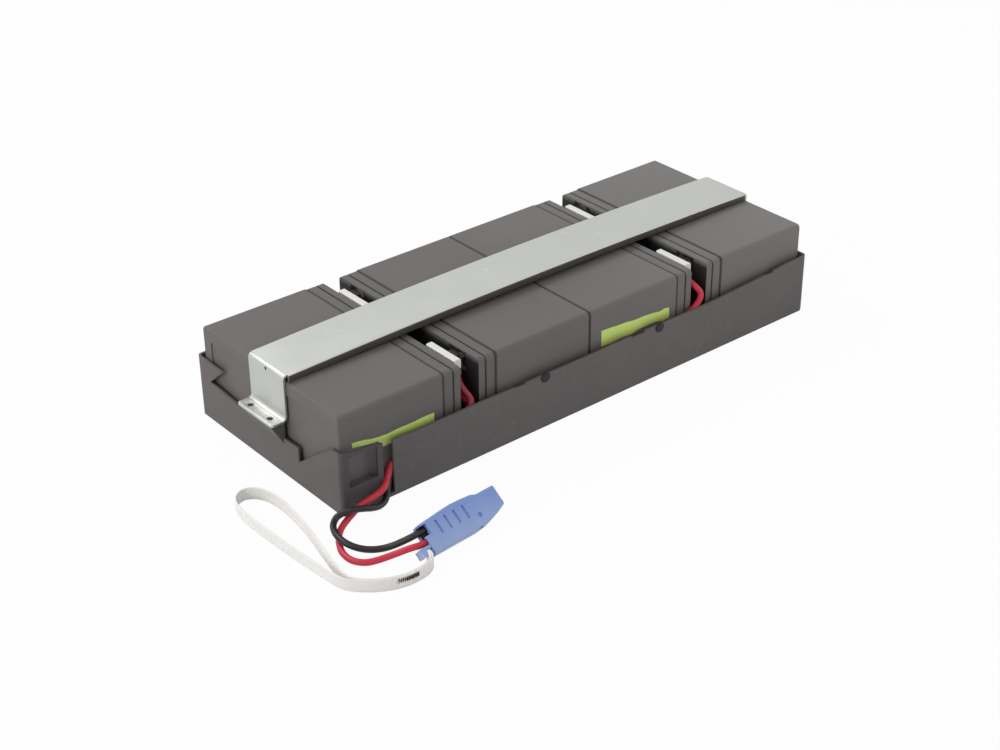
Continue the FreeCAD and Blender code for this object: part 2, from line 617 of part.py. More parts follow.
# Wires inside the tray. They run along the near side between the wall and the blocks, and bulge
# a little where they turn down out of the gaps between the lids.
thick = length("lead_thick")
lane = -length("side_gap") / 2
upper = length("deck_high")
lower = length("deck_low")
pair_one = length("block_tall")
pair_two = length("3 * block_tall + lid_gap")
shroud_mid = length("shroud_clear + shroud_thin / 2")
boot_mid = length("lid_gap - boot_clear - boot_thin / 2")
shroud_end = length("shroud_near_in")
wire_high = length("block_top - shroud_high / 2")
boot_low = length("terminal_high + boot_wide / 2 - boot_high")
near_tab = length("terminal_in")
far_tab = length("block_long - terminal_in")
far_shroud = length("block_long - shroud_far_in - shroud_long")
red_exit = at(32.6, lane, 27.0)
black_exit = at(36.6, lane, 17.0)

lead("supply_wire_positive", [
    at(pair_one + shroud_mid, shroud_end, wire_high), at(pair_one + shroud_mid, lane, wire_high),
    at(pair_one + 10.5, lane, 50.5), at(pair_one + 6.5, lane, 41.0), at(pair_one - 6.0, lane, upper + 1.5),
    at(pair_one - 24.0, lane, upper), at(33.4, lane, upper), red_exit], thick)
lead("series_wire_near", [
    at(pair_two + shroud_mid, shroud_end, wire_high), at(pair_two + shroud_mid, lane, wire_high),
    at(pair_two + 10.5, lane, 50.5), at(pair_two + 6.5, lane, 41.0), at(pair_two - 6.0, lane, upper + 1.5),
    at(pair_two - 24.0, lane, upper), at(pair_one + boot_mid, lane, upper),
    at(pair_one + boot_mid - 0.5, lane + 5.6, upper + 0.2),
    at(pair_one + boot_mid, near_tab - 6.0, upper), at(pair_one + boot_mid, near_tab, upper + 6.0),
    at(pair_one + boot_mid, near_tab, boot_low)], thick)
lead("supply_wire_negative", [
    at(pair_two + boot_mid, near_tab, boot_low), at(pair_two + boot_mid, near_tab, lower + 6.0),
    at(pair_two + boot_mid, near_tab - 6.0, lower), at(pair_two + boot_mid, lane, lower),
    at(48.0, lane, lower), at(39.9, lane, 27.8), black_exit], thick)
for number, pair in (("1", pair_one), ("2", pair_two)):
    lead(f"link_wire_{number}", [
        at(pair + shroud_mid, far_shroud, wire_high), at(pair + shroud_mid, far_shroud - 12.0, wire_high),
        at(pair + 0.5 * (shroud_mid + boot_mid), far_shroud - 15.0, wire_high - 18.0),
        at(pair + boot_mid, far_shroud + 2.0, wire_high - 34.0),
        at(pair + boot_mid, far_tab, wire_high - 30.0), at(pair + boot_mid, far_tab, boot_low)], thick)

# Connector: a two-pole housing that leans on its near edge in front of the near side, held up by
# its leads. It is drawn along its own X from the wire end to the mating end, and lies flat there.
roll = math.radians(length("plug_roll"))
edge_y = length("plug_wide / 2")
curve = length("plug_round")
lift = (edge_y - curve) * math.sin(roll) + curve * (1 - math.cos(roll)) + 0.02
turned = Rotation(Z_AXIS, length("plug_turn")) * Rotation(X_AXIS, length("plug_roll"))
near_edge = turned.multVec(Vector(0, -edge_y, 0))
plug_base = at(length("plug_x"), length("plug_y"), 0) - near_edge
plug_base.z = lift
plug_at = FreeCAD.Placement(plug_base, turned)
plug = keep(body_of("connector_housing"), "connector_housing")
half = "plug_wide / 2"
plug_plan = outline(plug, "plug_plan", "XY_Plane", [
    ("0", f"-{half}"), ("plug_taper", f"-{half}"), ("plug_shoulder", f"-{half} + 1.6 * plug_bulge"),
    ("plug_long - plug_round", "plug_front_side - plug_front / 2 - plug_bulge"),
    ("plug_long", "plug_front_side - plug_front / 2 + plug_bulge"),
    ("plug_long", "plug_front_side + plug_front / 2"), ("plug_neck", "plug_front_side + plug_front / 2"),
    ("plug_shoulder", f"{half}"), ("plug_taper", f"{half} + plug_bulge"), ("0", f"{half} - plug_bulge")])
moulding = pad(plug, "plug_block", plug_plan, "plug_thick")
moulding = fillet(plug, "plug_edges", moulding, lambda e: (
    abs(e.BoundBox.ZMax - e.BoundBox.ZMin) < 1e-6 and not runs_along(e, Y_AXIS)), "plug_round")
hook_side = f"(-{half} + hook_in)"
hook = outline(plug, "hook_plan", "XY_Plane", [
    ("-hook_long", hook_side), ("-hook_long", f"{hook_side} + hook_wide"),
    ("plug_round", f"{hook_side} + hook_wide"),
    ("plug_round", f"{hook_side} + hook_wide - hook_neck"),
    ("-hook_long + hook_bar", f"{hook_side} + hook_wide - hook_neck"),
    ("-hook_long + hook_bar", hook_side)], offset="plug_round / 2")
pad(plug, "hook", hook, "plug_thick - plug_round")
grip_far = f"{half} + 2 * plug_bulge"
for face, start, far in (("top", "plug_thick - grip_deep", "plug_thick + 1"), ("bottom", "-1", "grip_deep")):
    groove = outline(plug, f"grip_{face}_side", "XZ_Plane", [
        ("grip_start", start), ("grip_start + grip_wide", start),
        ("grip_start + grip_wide", far), ("grip_start", far)],
        offset=f"-({grip_far})")
    cut = pocket(plug, f"grip_{face}", groove, "grip_long + plug_bulge", back=True)
    grips = plug.newObject("PartDesign::LinearPattern", f"grips_{face}")
    grips.Originals = [cut]
    grips.Direction = (groove, ["H_Axis"])
    grips.setExpression("Length", spelled("(grip_count - 1) * grip_pitch"))
    grips.Occurrences = int(length("grip_count"))
    plug.Tip = grips
poles = [("pole_side - pole_pitch / 2", "plug_thick / 2"), ("pole_side + pole_pitch / 2", "plug_thick / 2")]
bores = circles(plug, "pole_centres", "YZ_Plane", poles, "lead_thick + 2 * bore_clear")
pocket(plug, "pole_bores", bores, "plug_long - mouth_deep + 1", back=True)
for hand, sign in (("left", "-"), ("right", "+")):
    middle = f"plug_front_side {sign} pole_pitch / 2"
    mouth = outline(plug, f"mouth_{hand}_end", "YZ_Plane", [
        (f"{middle} - mouth_wide / 2", "(plug_thick - mouth_high) / 2"),
        (f"{middle} + mouth_wide / 2", "(plug_thick - mouth_high) / 2"),
        (f"{middle} + mouth_wide / 2", "(plug_thick + mouth_high) / 2"),
        (f"{middle} - mouth_wide / 2", "(plug_thick + mouth_high) / 2")], offset="plug_long")
    pocket(plug, f"mouth_{hand}", mouth, "mouth_deep")
hood = outline(plug, "hood_end", "YZ_Plane", [
    ("plug_front_side - hood_wide / 2", "(plug_thick - mouth_high) / 2"),
    ("plug_front_side + hood_wide / 2", "(plug_thick - mouth_high) / 2"),
    ("plug_front_side + hood_wide / 2", "(plug_thick + mouth_high) / 2"),
    ("plug_front_side - hood_wide / 2", "(plug_thick + mouth_high) / 2")], offset="plug_long")
pocket(plug, "hood", hood, "hood_deep")
dimple = circles(plug, "pin_centre", "XY_Plane", [("pin_hole_at", "-pin_hole_side")], "pin_hole",
                  offset="plug_thick")
pocket(plug, "pin_recess", dimple, "pin_hole_deep")
plug.Placement = plug_at

# Contacts: a barrel behind each lead's end and a flat blade in each mouth of the housing
contacts = []
for hand, sign in (("left", "-"), ("right", "+")):
    barrel = doc.addObject("Part::Cylinder", f"barrel_{hand}")
    barrel.Placement = FreeCAD.Placement(Vector(0, 0, 0), Rotation(Y_AXIS, 90))
    bind(barrel, Radius="lead_thick / 2 - bore_clear", Height="plug_long - mouth_deep - bore_deep + 1",
         x="bore_deep", y=f"pole_side {sign} pole_pitch / 2", z="plug_thick / 2")
    blade = doc.addObject("Part::Box", f"contact_blade_{hand}")
    bind(blade, Length="blade_long + blade_back", Width="blade_thin", Height="blade_wide",
         x="plug_long - mouth_deep", y=f"plug_front_side {sign} pole_pitch / 2 - blade_thin / 2",
         z="(plug_thick - blade_wide) / 2")
    both_parts = doc.addObject("Part::Fuse", f"contact_{hand}")
    both_parts.Base = barrel
    both_parts.Tool = blade
    contacts.append(both_parts)
pair = doc.addObject("Part::Compound", "contact_pair")
pair.Links = contacts
pair.Placement = plug_at
keep(pair, "connector_contacts")


def in_plug(x, y, z):
    """A point of the connector's own frame, in the cartridge's frame."""
    return plug_at.multVec(Vector(x, y, z))


# Leads from the slot to the connector, as they fall on the floor. The negative one crosses over
# the positive one twice.
bore_deep = length("bore_deep")
near_pole = length("pole_side - pole_pitch / 2")
far_pole = length("pole_side + pole_pitch / 2")
pole_high = length("plug_thick / 2")
rest = thick / 2 + 0.1
lead("red_lead", [
    red_exit, at(31.76, lane, 19.6), at(29.2, -9.6, 14.0), at(20.8, -11.8, 11.8), at(11.8, -11.6, 10.6),
    at(3.4, -11.0, 7.8), at(-3.8, -11.4, 3.8), at(-10.8, -14.2, rest + 0.1), at(-17.2, -19.8, rest),
    at(-22.6, -27.6, rest), at(-26.8, -36.6, rest), at(-27.0, -46.4, rest), at(-21.8, -53.8, rest),
    at(-13.4, -56.4, rest + 0.2), at(-5.2, -60.0, 4.4), at(2.4, -65.4, 8.2),
    in_plug(-3.4, near_pole, pole_high), in_plug(bore_deep / 2, near_pole, pole_high)], thick)
lead("black_lead", [
    black_exit, at(33.73, lane, 7.6), at(29.0, -10.2, 4.4), at(20.8, -14.0, 4.2), at(12.2, -15.8, 6.6),
    at(4.6, -15.6, 9.4), at(-2.8, -12.6, 9.8), at(-10.2, -9.0, 7.4), at(-16.0, -12.2, 5.6),
    at(-20.8, -20.0, 6.8), at(-23.4, -28.8, 7.4), at(-22.4, -37.0, 6.6), at(-17.4, -43.0, 4.4),
    at(-10.2, -47.2, 2.8), at(-3.0, -51.8, 4.0), at(3.0, -57.8, 8.8),
    in_plug(-3.4, far_pole, pole_high), in_plug(bore_deep / 2, far_pole, pole_high)], thick)

# Pull strap: flat woven tape on its edge, a closed loop whose two legs run together to the housing
tape = length("strap_thin")
along_plug = plug_at.Rotation.multVec(X_AXIS)
strap_side = Vector(along_plug.y, -along_plug.x, 0)
neck_floor = length("-plug_wide / 2 + hook_in + hook_wide - hook_neck")
root = in_plug(-length("strap_at"), neck_floor, 0)
clear = math.tan(roll) * (length("strap_wide") - root.z) + 0.15
root = root + strap_side * clear
root.z = 0
stem_end = at(-38.6, -71.6, 0)
stem = [root, root + strap_side * 3.6, at(4.0, -82.9, 0), at(-6.8, -84.8, 0), at(-18.4, -83.8, 0),
        at(-29.4, -79.0, 0), stem_end]
stem_heading = stem[-1] - stem[-2]
stem_heading.normalize()
split = Vector(stem_heading.y, -stem_heading.x, 0) * (0.53 * tape)
sewn_in = stem_heading * (-4.0)
loop = [
    stem_end + sewn_in + split, stem_end + split, at(-42.6, -63.4, 0), at(-39.6, -44.6, 0),
    at(-35.2, -26.0, 0), at(-30.9, -8.0, 0),
    at(-28.2, 10.0, 0), at(-26.6, 28.0, 0), at(-28.8, 43.6, 0), at(-37.0, 52.0, 0), at(-47.0, 48.6, 0),
    at(-51.6, 36.4, 0), at(-51.8, 18.0, 0), at(-50.9, -4.0, 0), at(-49.6, -27.0, 0), at(-47.8, -47.0, 0),
    at(-46.2, -63.0, 0), stem_end - split, stem_end + sewn_in - split]


def ribbon(points, thickness):
    """Offsets a route to both sides in plan and raises it to the tape's width."""
    wire, radii = route_wire(points)
    heading = points[1] - points[0]
    heading.normalize()
    side = Vector(-heading.y, heading.x, 0)
    tall = length("strap_wide")
    corners = [points[0] + side * (thickness / 2), points[0] - side * (thickness / 2)]
    profile = Part.makePolygon([corners[0], corners[1], corners[1] + Z_AXIS * tall,
                                corners[0] + Z_AXIS * tall, corners[0]])
    return wire, radii, wire.makePipeShell([profile], True, True)


loop_wire, loop_radii, loop_solid = ribbon(loop, tape)
stem_wire, stem_radii, stem_solid = ribbon(stem, 2.15 * tape)
strap = doc.addObject("Part::Feature", "pull_strap")
strap.Shape = loop_solid.fuse(stem_solid)
strap.Placement = FreeCAD.Placement()
keep(strap, "pull_strap")
print(f"pull_strap: loop {loop_wire.Length:.1f} mm, doubled stem {stem_wire.Length:.1f} mm, "
      f"smallest radii {min(loop_radii):.1f} and {min(stem_radii):.1f}")

doc.recompute()
broken = [item.Name for item in doc.Objects if "Invalid" in item.State or "Error" in item.State]
if broken:
    raise RuntimeError(f"did not compute: {broken}")
for item in pieces:
    shape = item.Shape
    if shape.isNull() or not shape.isValid() or not shape.Solids:
        raise RuntimeError(f"{item.Label} has no valid solid")

os.makedirs("parts", exist_ok=True)
for item in pieces:
    item.Shape.exportStep(f"parts/{item.Label}.step")
print(f"{len(pieces)} pieces written")
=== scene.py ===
import bmesh
import bpy
import math
from mathutils import Matrix, Vector


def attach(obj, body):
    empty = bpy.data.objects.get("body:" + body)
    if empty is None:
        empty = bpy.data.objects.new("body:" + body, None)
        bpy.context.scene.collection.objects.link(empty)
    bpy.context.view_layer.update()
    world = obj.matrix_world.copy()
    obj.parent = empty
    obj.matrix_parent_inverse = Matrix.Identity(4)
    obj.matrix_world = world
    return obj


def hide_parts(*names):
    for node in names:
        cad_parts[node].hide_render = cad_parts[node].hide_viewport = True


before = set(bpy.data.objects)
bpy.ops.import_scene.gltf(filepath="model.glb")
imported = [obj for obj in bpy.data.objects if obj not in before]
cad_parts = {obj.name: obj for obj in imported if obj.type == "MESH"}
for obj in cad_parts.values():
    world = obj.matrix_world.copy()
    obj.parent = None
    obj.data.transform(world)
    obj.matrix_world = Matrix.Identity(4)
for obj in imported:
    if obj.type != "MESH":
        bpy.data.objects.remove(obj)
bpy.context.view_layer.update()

# Viewpoint: the cartridge is seen from its near front corner, a little above, through a long lens.
# The three directions are those of the lens: forward, to the right and up.
camera_data = bpy.data.cameras.new("viewpoint")
camera_data.lens = 66.82
camera_data.sensor_width = 36.0
camera_data.clip_start = 0.05
eye = Vector((-0.7248, -0.8618, 0.6493))
camera = bpy.data.objects.new("viewpoint", camera_data)
bpy.context.collection.objects.link(camera)
forward = Vector((0.5481, 0.6652, -0.5070)).normalized()
right = Vector((0.7688, -0.6395, -0.0080))
right = (right - forward * right.dot(forward)).normalized()
above = right.cross(forward)
camera.matrix_world = Matrix((
    (right.x, above.x, -forward.x, eye.x),
    (right.y, above.y, -forward.y, eye.y),
    (right.z, above.z, -forward.z, eye.z),
    (0.0, 0.0, 0.0, 1.0)))
bpy.context.scene.camera = camera


# Leads: two stranded copper leads in soft PVC insulation, red for the positive and black for
# the negative. They leave the slot in the tray, fall on the floor, cross twice and end in the
# connector.
class Tone:
    """A number, colour or direction that varies over a surface, with plain arithmetic on it."""

    def __init__(self, tree, socket=None):
        self.tree = tree
        self.socket = socket

    def node(self, kind, settings=None, sockets=None, out=0):
        made = self.tree.nodes.new(kind)
        for key, value in (settings or {}).items():
            if key == "stops":
                ramp = made.color_ramp
                while len(ramp.elements) < len(value):
                    ramp.elements.new(0.5)
                for element, (place, level) in zip(ramp.elements, value):
                    element.position = place
                    element.color = (level, level, level, 1.0)
            else:
                setattr(made, key, value)
        for key, value in (sockets or {}).items():
            if isinstance(value, Tone):
                self.tree.links.new(value.socket, made.inputs[key])
            else:
                made.inputs[key].default_value = value
        return Tone(self.tree, made.outputs[out])

    def maths(self, operation, first, second):
        return self.node("ShaderNodeMath", {"operation": operation}, {0: first, 1: second})

    def __add__(self, other):
        return self.maths("ADD", self, other)

    __radd__ = __add__

    def __sub__(self, other):
        return self.maths("SUBTRACT", self, other)

    def __mul__(self, other):
        return self.maths("MULTIPLY", self, other)

    def __gt__(self, other):
        return self.maths("GREATER_THAN", self, other)

    def __lt__(self, other):
        return self.maths("LESS_THAN", self, other)

    def size(self):
        """How far this number lies from nought."""
        return self.node("ShaderNodeMath", {"operation": "ABSOLUTE"}, {0: self})

    def wave(self):
        return self.node("ShaderNodeMath", {"operation": "SINE"}, {0: self})

    def ramp(self, low, high, start=0.0, end=1.0):
        """Brings this number from one range to another and keeps it inside that one."""
        return self.node("ShaderNodeMapRange", {}, {
            "Value": self, 1: low, 2: high, 3: start, 4: end})

    def parts(self):
        """The three numbers of this direction or place."""
        split = self.node("ShaderNodeSeparateXYZ", {}, {0: self})
        return [Tone(self.tree, socket) for socket in split.socket.node.outputs]

    def noise(self, where, scale, detail=2.0, roughness=0.5):
        return self.node("ShaderNodeTexNoise", {}, {
            "Vector": where, "Scale": scale, "Detail": detail, "Roughness": roughness})

    def between(self, low, high, factor):
        """Mixes two colours by a factor."""
        mixed = self.node("ShaderNodeMix", {"data_type": "RGBA"}, {"Factor": factor}, 2)
        made = mixed.socket.node
        for key, value in ((6, low), (7, high)):
            if isinstance(value, Tone):
                self.tree.links.new(value.socket, made.inputs[key])
            else:
                made.inputs[key].default_value = (*value, 1.0)
        return mixed

    def bump(self, height, strength, distance):
        return self.node("ShaderNodeBump", {}, {
            "Height": height, "Strength": strength, "Distance": distance})


def shade(red, green, blue):
    """A colour as it is seen on a screen, 0 to 255, turned into the shader's own scale."""
    return tuple(
        (v / 255 / 12.92) if v / 255 <= 0.04045 else ((v / 255 + 0.055) / 1.055) ** 2.4
        for v in (red, green, blue))


def surface(name, roughness=0.5, metallic=0.0, specular=0.5, **constants):
    """A new material with its shader, its node tree and its place on the object."""
    material = bpy.data.materials.new(name)
    material.use_nodes = True
    shader = material.node_tree.nodes["Principled BSDF"]
    shader.inputs["Roughness"].default_value = roughness
    shader.inputs["Metallic"].default_value = metallic
    shader.inputs["Specular IOR Level"].default_value = specular
    for key, value in constants.items():
        shader.inputs[key.replace("_", " ")].default_value = value
    tone = Tone(material.node_tree)
    where = tone.node("ShaderNodeTexCoord", {}, {}, 3)
    return material, shader, tone, where


def feed(tone, shader, **channels):
    """Links varying values to the shader's own inputs."""
    for key, value in channels.items():
        tone.tree.links.new(value.socket, shader.inputs[key.replace("_", " ")])


def insulation(name, colour, lifted):
    """Soft PVC: an even skin with faint dull and glossy patches and a slightly uneven surface."""
    material, shader, tone, where = surface(name, 0.42, specular=0.45)
    patch = tone.noise(where, 90.0, 3.0)
    grain = tone.noise(where, 1400.0, 2.0)
    feed(tone, shader,
         Base_Color=tone.between(colour, lifted, patch * 0.7),
         Roughness=0.34 + patch * 0.2,
         Normal=tone.bump(grain, 0.12, 0.0002))
    return material


front_end = -202.6
near_side = -75.5


def at(x, y, z):
    """A place in millimetres from the near front corner of the first block, in the frame."""
    return Vector(((x + front_end) / 1000, (y + near_side) / 1000, z / 1000))


def smooth_line(name, points, steps):
    """A smooth curve that has the given points as its control points."""
    line = bpy.data.curves.new(name, "CURVE")
    line.dimensions = "3D"
    line.resolution_u = steps
    run = line.splines.new("NURBS")
    run.points.add(len(points) - 1)
    for knot, point in zip(run.points, points):
        knot.co = (*point, 1.0)
    run.order_u = 3
    run.use_endpoint_u = True
    return line


def wire(name, points, diameter, material):
    """A round wire along a smooth line through its control points."""
    line = smooth_line(name, points, 14)
    line.bevel_depth = diameter / 2
    line.bevel_resolution = 6
    line.use_fill_caps = True
    piece = bpy.data.objects.new(name, line)
    bpy.context.collection.objects.link(piece)
    line.materials.append(material)
    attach(piece, "root")
    return piece


lead_thick = 0.0042
lane = -2.15
red_skin = insulation("red_insulation", shade(205, 36, 62), shade(222, 66, 88))
black_skin = insulation("black_insulation", shade(24, 21, 21), shade(38, 34, 33))
# A darker copy of the red insulation: painted shade for the supply wire in the first gap.
shaded_red_skin = insulation("painted_shade_red_insulation", shade(142, 28, 46), shade(160, 46, 62))
plug_thick = 8.6
plug_wide = 21.4
plug_curve = 1.4
plug_roll = math.radians(38.0)
plug_lift = (plug_wide / 2 - plug_curve) * math.sin(plug_roll)
plug_lift += plug_curve * (1 - math.cos(plug_roll)) + 0.02
plug_turn = Matrix.Rotation(math.radians(4.5), 4, "Z") @ Matrix.Rotation(plug_roll, 4, "X")
plug_root = at(12.3, -72.2, 0) - (plug_turn @ Vector((0, -plug_wide / 2000, 0)))
plug_root.z = plug_lift / 1000
plug_place = Matrix.Translation(plug_root) @ plug_turn


def in_plug(x, y, z):
    """A place in millimetres from the wire end of the connector, along it, across it and up."""
    return plug_place @ Vector((x / 1000, y / 1000, z / 1000))


rest = 2.2
near_pole = -1.3
far_pole = 5.7
red_route = [
    at(37.0, lane, 22.6), at(32.2, lane - 1.0, 15.6), at(27.2, -8.4, 13.6),
    at(22.0, -10.4, 11.4), at(11.6, -11.2, 10.0), at(3.4, -11.0, 7.8), at(-3.8, -11.4, 3.8),
    at(-10.8, -14.2, rest + 0.1), at(-17.2, -19.8, rest), at(-22.6, -27.6, rest),
    at(-26.8, -36.6, rest), at(-27.0, -46.4, rest), at(-21.8, -53.8, rest),
    at(-13.4, -56.4, rest + 0.2), at(-5.2, -60.0, 4.4), at(2.4, -65.4, 8.2),
    in_plug(-3.4, near_pole, plug_thick / 2), in_plug(4.0, near_pole, plug_thick / 2)]
black_route = [
    at(36.6, lane, 17.0), at(32.4, lane, 7.6), at(26.0, -10.2, 4.0), at(18.8, -14.0, 4.2),
    at(11.4, -15.8, 6.6), at(4.6, -15.6, 9.4), at(-2.8, -12.6, 9.8), at(-10.2, -9.0, 7.4),
    at(-16.0, -12.2, 5.6), at(-20.8, -20.0, 6.8), at(-23.4, -28.8, 7.4), at(-22.4, -37.0, 6.6),
    at(-17.4, -43.0, 4.4), at(-10.2, -47.2, 2.8), at(-3.0, -51.8, 4.0), at(3.0, -57.8, 8.8),
    in_plug(-3.4, far_pole, plug_thick / 2), in_plug(4.0, far_pole, plug_thick / 2)]
red_lead = wire("red_supply_lead", red_route, lead_thick, red_skin)
black_lead = wire("black_supply_lead", black_route, lead_thick, black_skin)
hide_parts("red_lead")
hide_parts("black_lead")

# Fixed wires: the same wire inside the tray. It runs in the lane between the near wall and the
# blocks and turns up into the gaps, to its ends at the terminals. The positive supply wire has
# a darker red, painted shade for the deep shade of the gap that it lies in.
shroud_x = 4.0
boot_x = 11.7
first_gap = 94.0
second_gap = 296.6
lane_high = 34.0
lane_low = 29.2
fixed_wires = {
    "supply_wire_positive": (shaded_red_skin, "red_wire", [
        at(first_gap + shroud_x, 8.0, 62.0), at(first_gap + 2.6, 7.4, 55.5),
        at(first_gap + 5.0, 4.4, 47.5), at(first_gap + 8.4, 0.6, 41.5),
        at(first_gap + 6.0, lane, 36.5), at(first_gap - 6.0, lane, 34.4),
        at(first_gap - 24.0, lane, lane_high), at(52.0, lane, lane_high),
        at(43.2, lane, 28.8), red_route[0]]),
    "series_wire_near": (red_skin, "red_wire", [
        at(second_gap + shroud_x, 8.0, 62.0), at(second_gap + 2.6, 7.2, 57.0),
        at(second_gap + 4.4, 1.6, 54.0), at(second_gap + 8.8, lane, 47.5),
        at(second_gap + 4.0, lane, 40.5), at(second_gap - 6.0, lane, 35.2),
        at(second_gap - 24.0, lane, lane_high), at(first_gap + boot_x, lane, lane_high),
        at(first_gap + boot_x - 0.5, lane + 5.6, 34.2), at(first_gap + boot_x, 16.0, lane_high),
        at(first_gap + boot_x, 22.0, 40.0), at(first_gap + boot_x, 22.0, 51.3)]),
    "supply_wire_negative": (black_skin, "black_wire", [
        at(second_gap + boot_x, 22.0, 51.3), at(second_gap + boot_x, 22.0, 35.2),
        at(second_gap + boot_x, 16.0, lane_low), at(second_gap + boot_x, lane, lane_low),
        at(54.0, lane, lane_low), at(43.0, lane, 22.4), black_route[0]]),
}
for name, (skin, slot, points) in fixed_wires.items():
    piece = wire(name.replace("wire", "run"), points, lead_thick, skin)
    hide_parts(name)

# Pull strap: white woven polypropylene tape, 8.5 mm wide. It stands on its edge on the floor,
# makes one long loop, and its legs run together to the connector. Brown thread tacks them.
tape_high = 0.0085
tape_thin = 0.0012


def follow(points):
    """Points along the smooth line through the given control points."""
    holder = bpy.data.objects.new("strap_line", smooth_line("strap_line", points, 10))
    bpy.context.collection.objects.link(holder)
    bpy.context.view_layer.update()
    traced = bpy.data.meshes.new_from_object(holder)
    places = [vertex.co.copy() for vertex in traced.vertices]
    bpy.data.objects.remove(holder)
    return places


def tape(name, places, material):
    """A flat tape on its edge along a line, with rounded selvedges and its own weave map."""
    mesh = bpy.data.meshes.new(name)
    form = bmesh.new()
    weave = form.loops.layers.uv.new("weave")
    half = tape_thin / 2
    heights = [tape_high * (0.06 + 0.88 * i / 6) for i in range(7)]
    ring = [(half, up) for up in heights]
    ring += [(half * 0.5, tape_high), (-half * 0.5, tape_high)]
    ring += [(-half, tape_high - up) for up in heights]
    ring += [(-half * 0.5, 0.0), (half * 0.5, 0.0)]
    rows = []
    gone = 0.0
    for i, place in enumerate(places):
        before = places[max(i - 1, 0)]
        after = places[min(i + 1, len(places) - 1)]
        heading = after - before
        heading.z = 0
        heading.normalize()
        side = Vector((-heading.y, heading.x, 0))
        if i:
            gone += (place - places[i - 1]).length
        rows.append((gone, [form.verts.new(place + side * across + Vector((0, 0, up)))
                            for across, up in ring]))
    count = len(ring)
    for (start, one), (end, two) in zip(rows, rows[1:]):
        for k in range(count):
            j = (k + 1) % count
            face = form.faces.new((one[k], two[k], two[j], one[j]))
            for loop, (u, v) in zip(face.loops, ((start, ring[k][1]), (end, ring[k][1]),
                                                 (end, ring[j][1]), (start, ring[j][1]))):
                loop[weave].uv = (u, v)
    for gone, row in (rows[0], rows[-1]):
        face = form.faces.new(row)
        for loop in face.loops:
            loop[weave].uv = (gone, loop.vert.co.z)
    bmesh.ops.recalc_face_normals(form, faces=form.faces)
    form.to_mesh(mesh)
    form.free()
    for polygon in mesh.polygons:
        polygon.use_smooth = True
    piece = bpy.data.objects.new(name, mesh)
    bpy.context.collection.objects.link(piece)
    mesh.materials.append(material)
    return piece


webbing, shader, tone, where = surface("woven_tape", 0.78, specular=0.25, Sheen_Weight=0.35)
cloth = tone.node("ShaderNodeUVMap", {"uv_map": "weave"})
along, across = cloth.parts()[:2]
thread = (across * 5200.0).wave() * (along * 4200.0).wave()
soil = tone.noise(where, 70.0, 3.0)
feed(tone, shader,
     Base_Color=tone.between(shade(255, 253, 250), shade(240, 236, 231),
                             soil * 0.7 + thread * 0.06),
     Normal=tone.bump(thread * 0.5 + 0.5, 0.5, 0.00025))

leg_apart = 0.00064
root_side = plug_turn @ Vector((1, 0, 0))
root_side = Vector((root_side.y, -root_side.x, 0))
root = in_plug(-3.2, -5.7, 0)
root += root_side * (math.tan(plug_roll) * (tape_high - root.z) + 0.00015)
root.z = 0
stem_end = at(-29.4, -79.0, 0)
split_point = at(-38.6, -71.6, 0)
stem_heading = (split_point - stem_end).normalized()
apart = Vector((stem_heading.y, -stem_heading.x, 0)) * leg_apart
stem_route = [
    root, root + root_side * 0.0036, at(4.0, -82.9, 0), at(-6.8, -84.8, 0), at(-18.4, -83.8, 0),
    stem_end]
loop_route = [
    at(-42.6, -63.4, 0), at(-39.6, -44.6, 0), at(-35.2, -26.0, 0), at(-30.9, -8.0, 0),
    at(-28.2, 10.0, 0), at(-26.6, 28.0, 0), at(-28.8, 43.6, 0), at(-37.0, 52.0, 0),
    at(-47.0, 48.6, 0), at(-51.6, 36.4, 0), at(-51.8, 18.0, 0), at(-50.9, -4.0, 0),
    at(-49.6, -27.0, 0), at(-47.8, -47.0, 0), at(-46.2, -63.0, 0)]


def beside(points, by):
    """The same line, moved to one side in plan."""
    moved = []
    for i, point in enumerate(points):
        heading = points[min(i + 1, len(points) - 1)] - points[max(i - 1, 0)]
        heading.z = 0
        heading.normalize()
        moved.append(point + Vector((heading.y, -heading.x, 0)) * by)
    return moved


inner_leg = beside(stem_route, leg_apart)
outer_leg = beside(stem_route, -leg_apart)
tape_route = inner_leg + [split_point + apart] + loop_route
tape_route += [split_point - apart] + outer_leg[::-1]
strap = tape("pull_strap_tape", follow(tape_route), webbing)
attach(strap, "root")
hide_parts("pull_strap")

brown_thread, shader, tone, where = surface("tacking_thread", 0.7, specular=0.2)
twist = tone.noise(where, 900.0, 2.0)
feed(tone, shader,
     Base_Color=tone.between(shade(96, 72, 56), shade(150, 122, 100), twist),
     Normal=tone.bump(twist, 0.4, 0.0002))
tack_line = follow(beside(stem_route, -0.0014))
tack_line = [place for place in tack_line if at(-22.0, 0, 0).x < place.x < at(-6.5, 0, 0).x]
stitch_count = 44
stitch_low = 0.0042
stitch_high = 0.0074
stitches = []
for i in range(stitch_count):
    place = tack_line[int(i * (len(tack_line) - 1) / (stitch_count - 1))]
    stitches.append(place + Vector((0, 0, stitch_low if i % 2 else stitch_high)))
tack = bpy.data.curves.new("strap_tack", "CURVE")
tack.dimensions = "3D"
tack.bevel_depth = 0.00026
tack.bevel_resolution = 2
zigzag = tack.splines.new("POLY")
zigzag.points.add(len(stitches) - 1)
for knot, place in zip(zigzag.points, stitches):
    knot.co = (*place, 1.0)
tacking = bpy.data.objects.new("strap_tack", tack)
bpy.context.collection.objects.link(tacking)
tack.materials.append(brown_thread)
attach(tacking, "root")
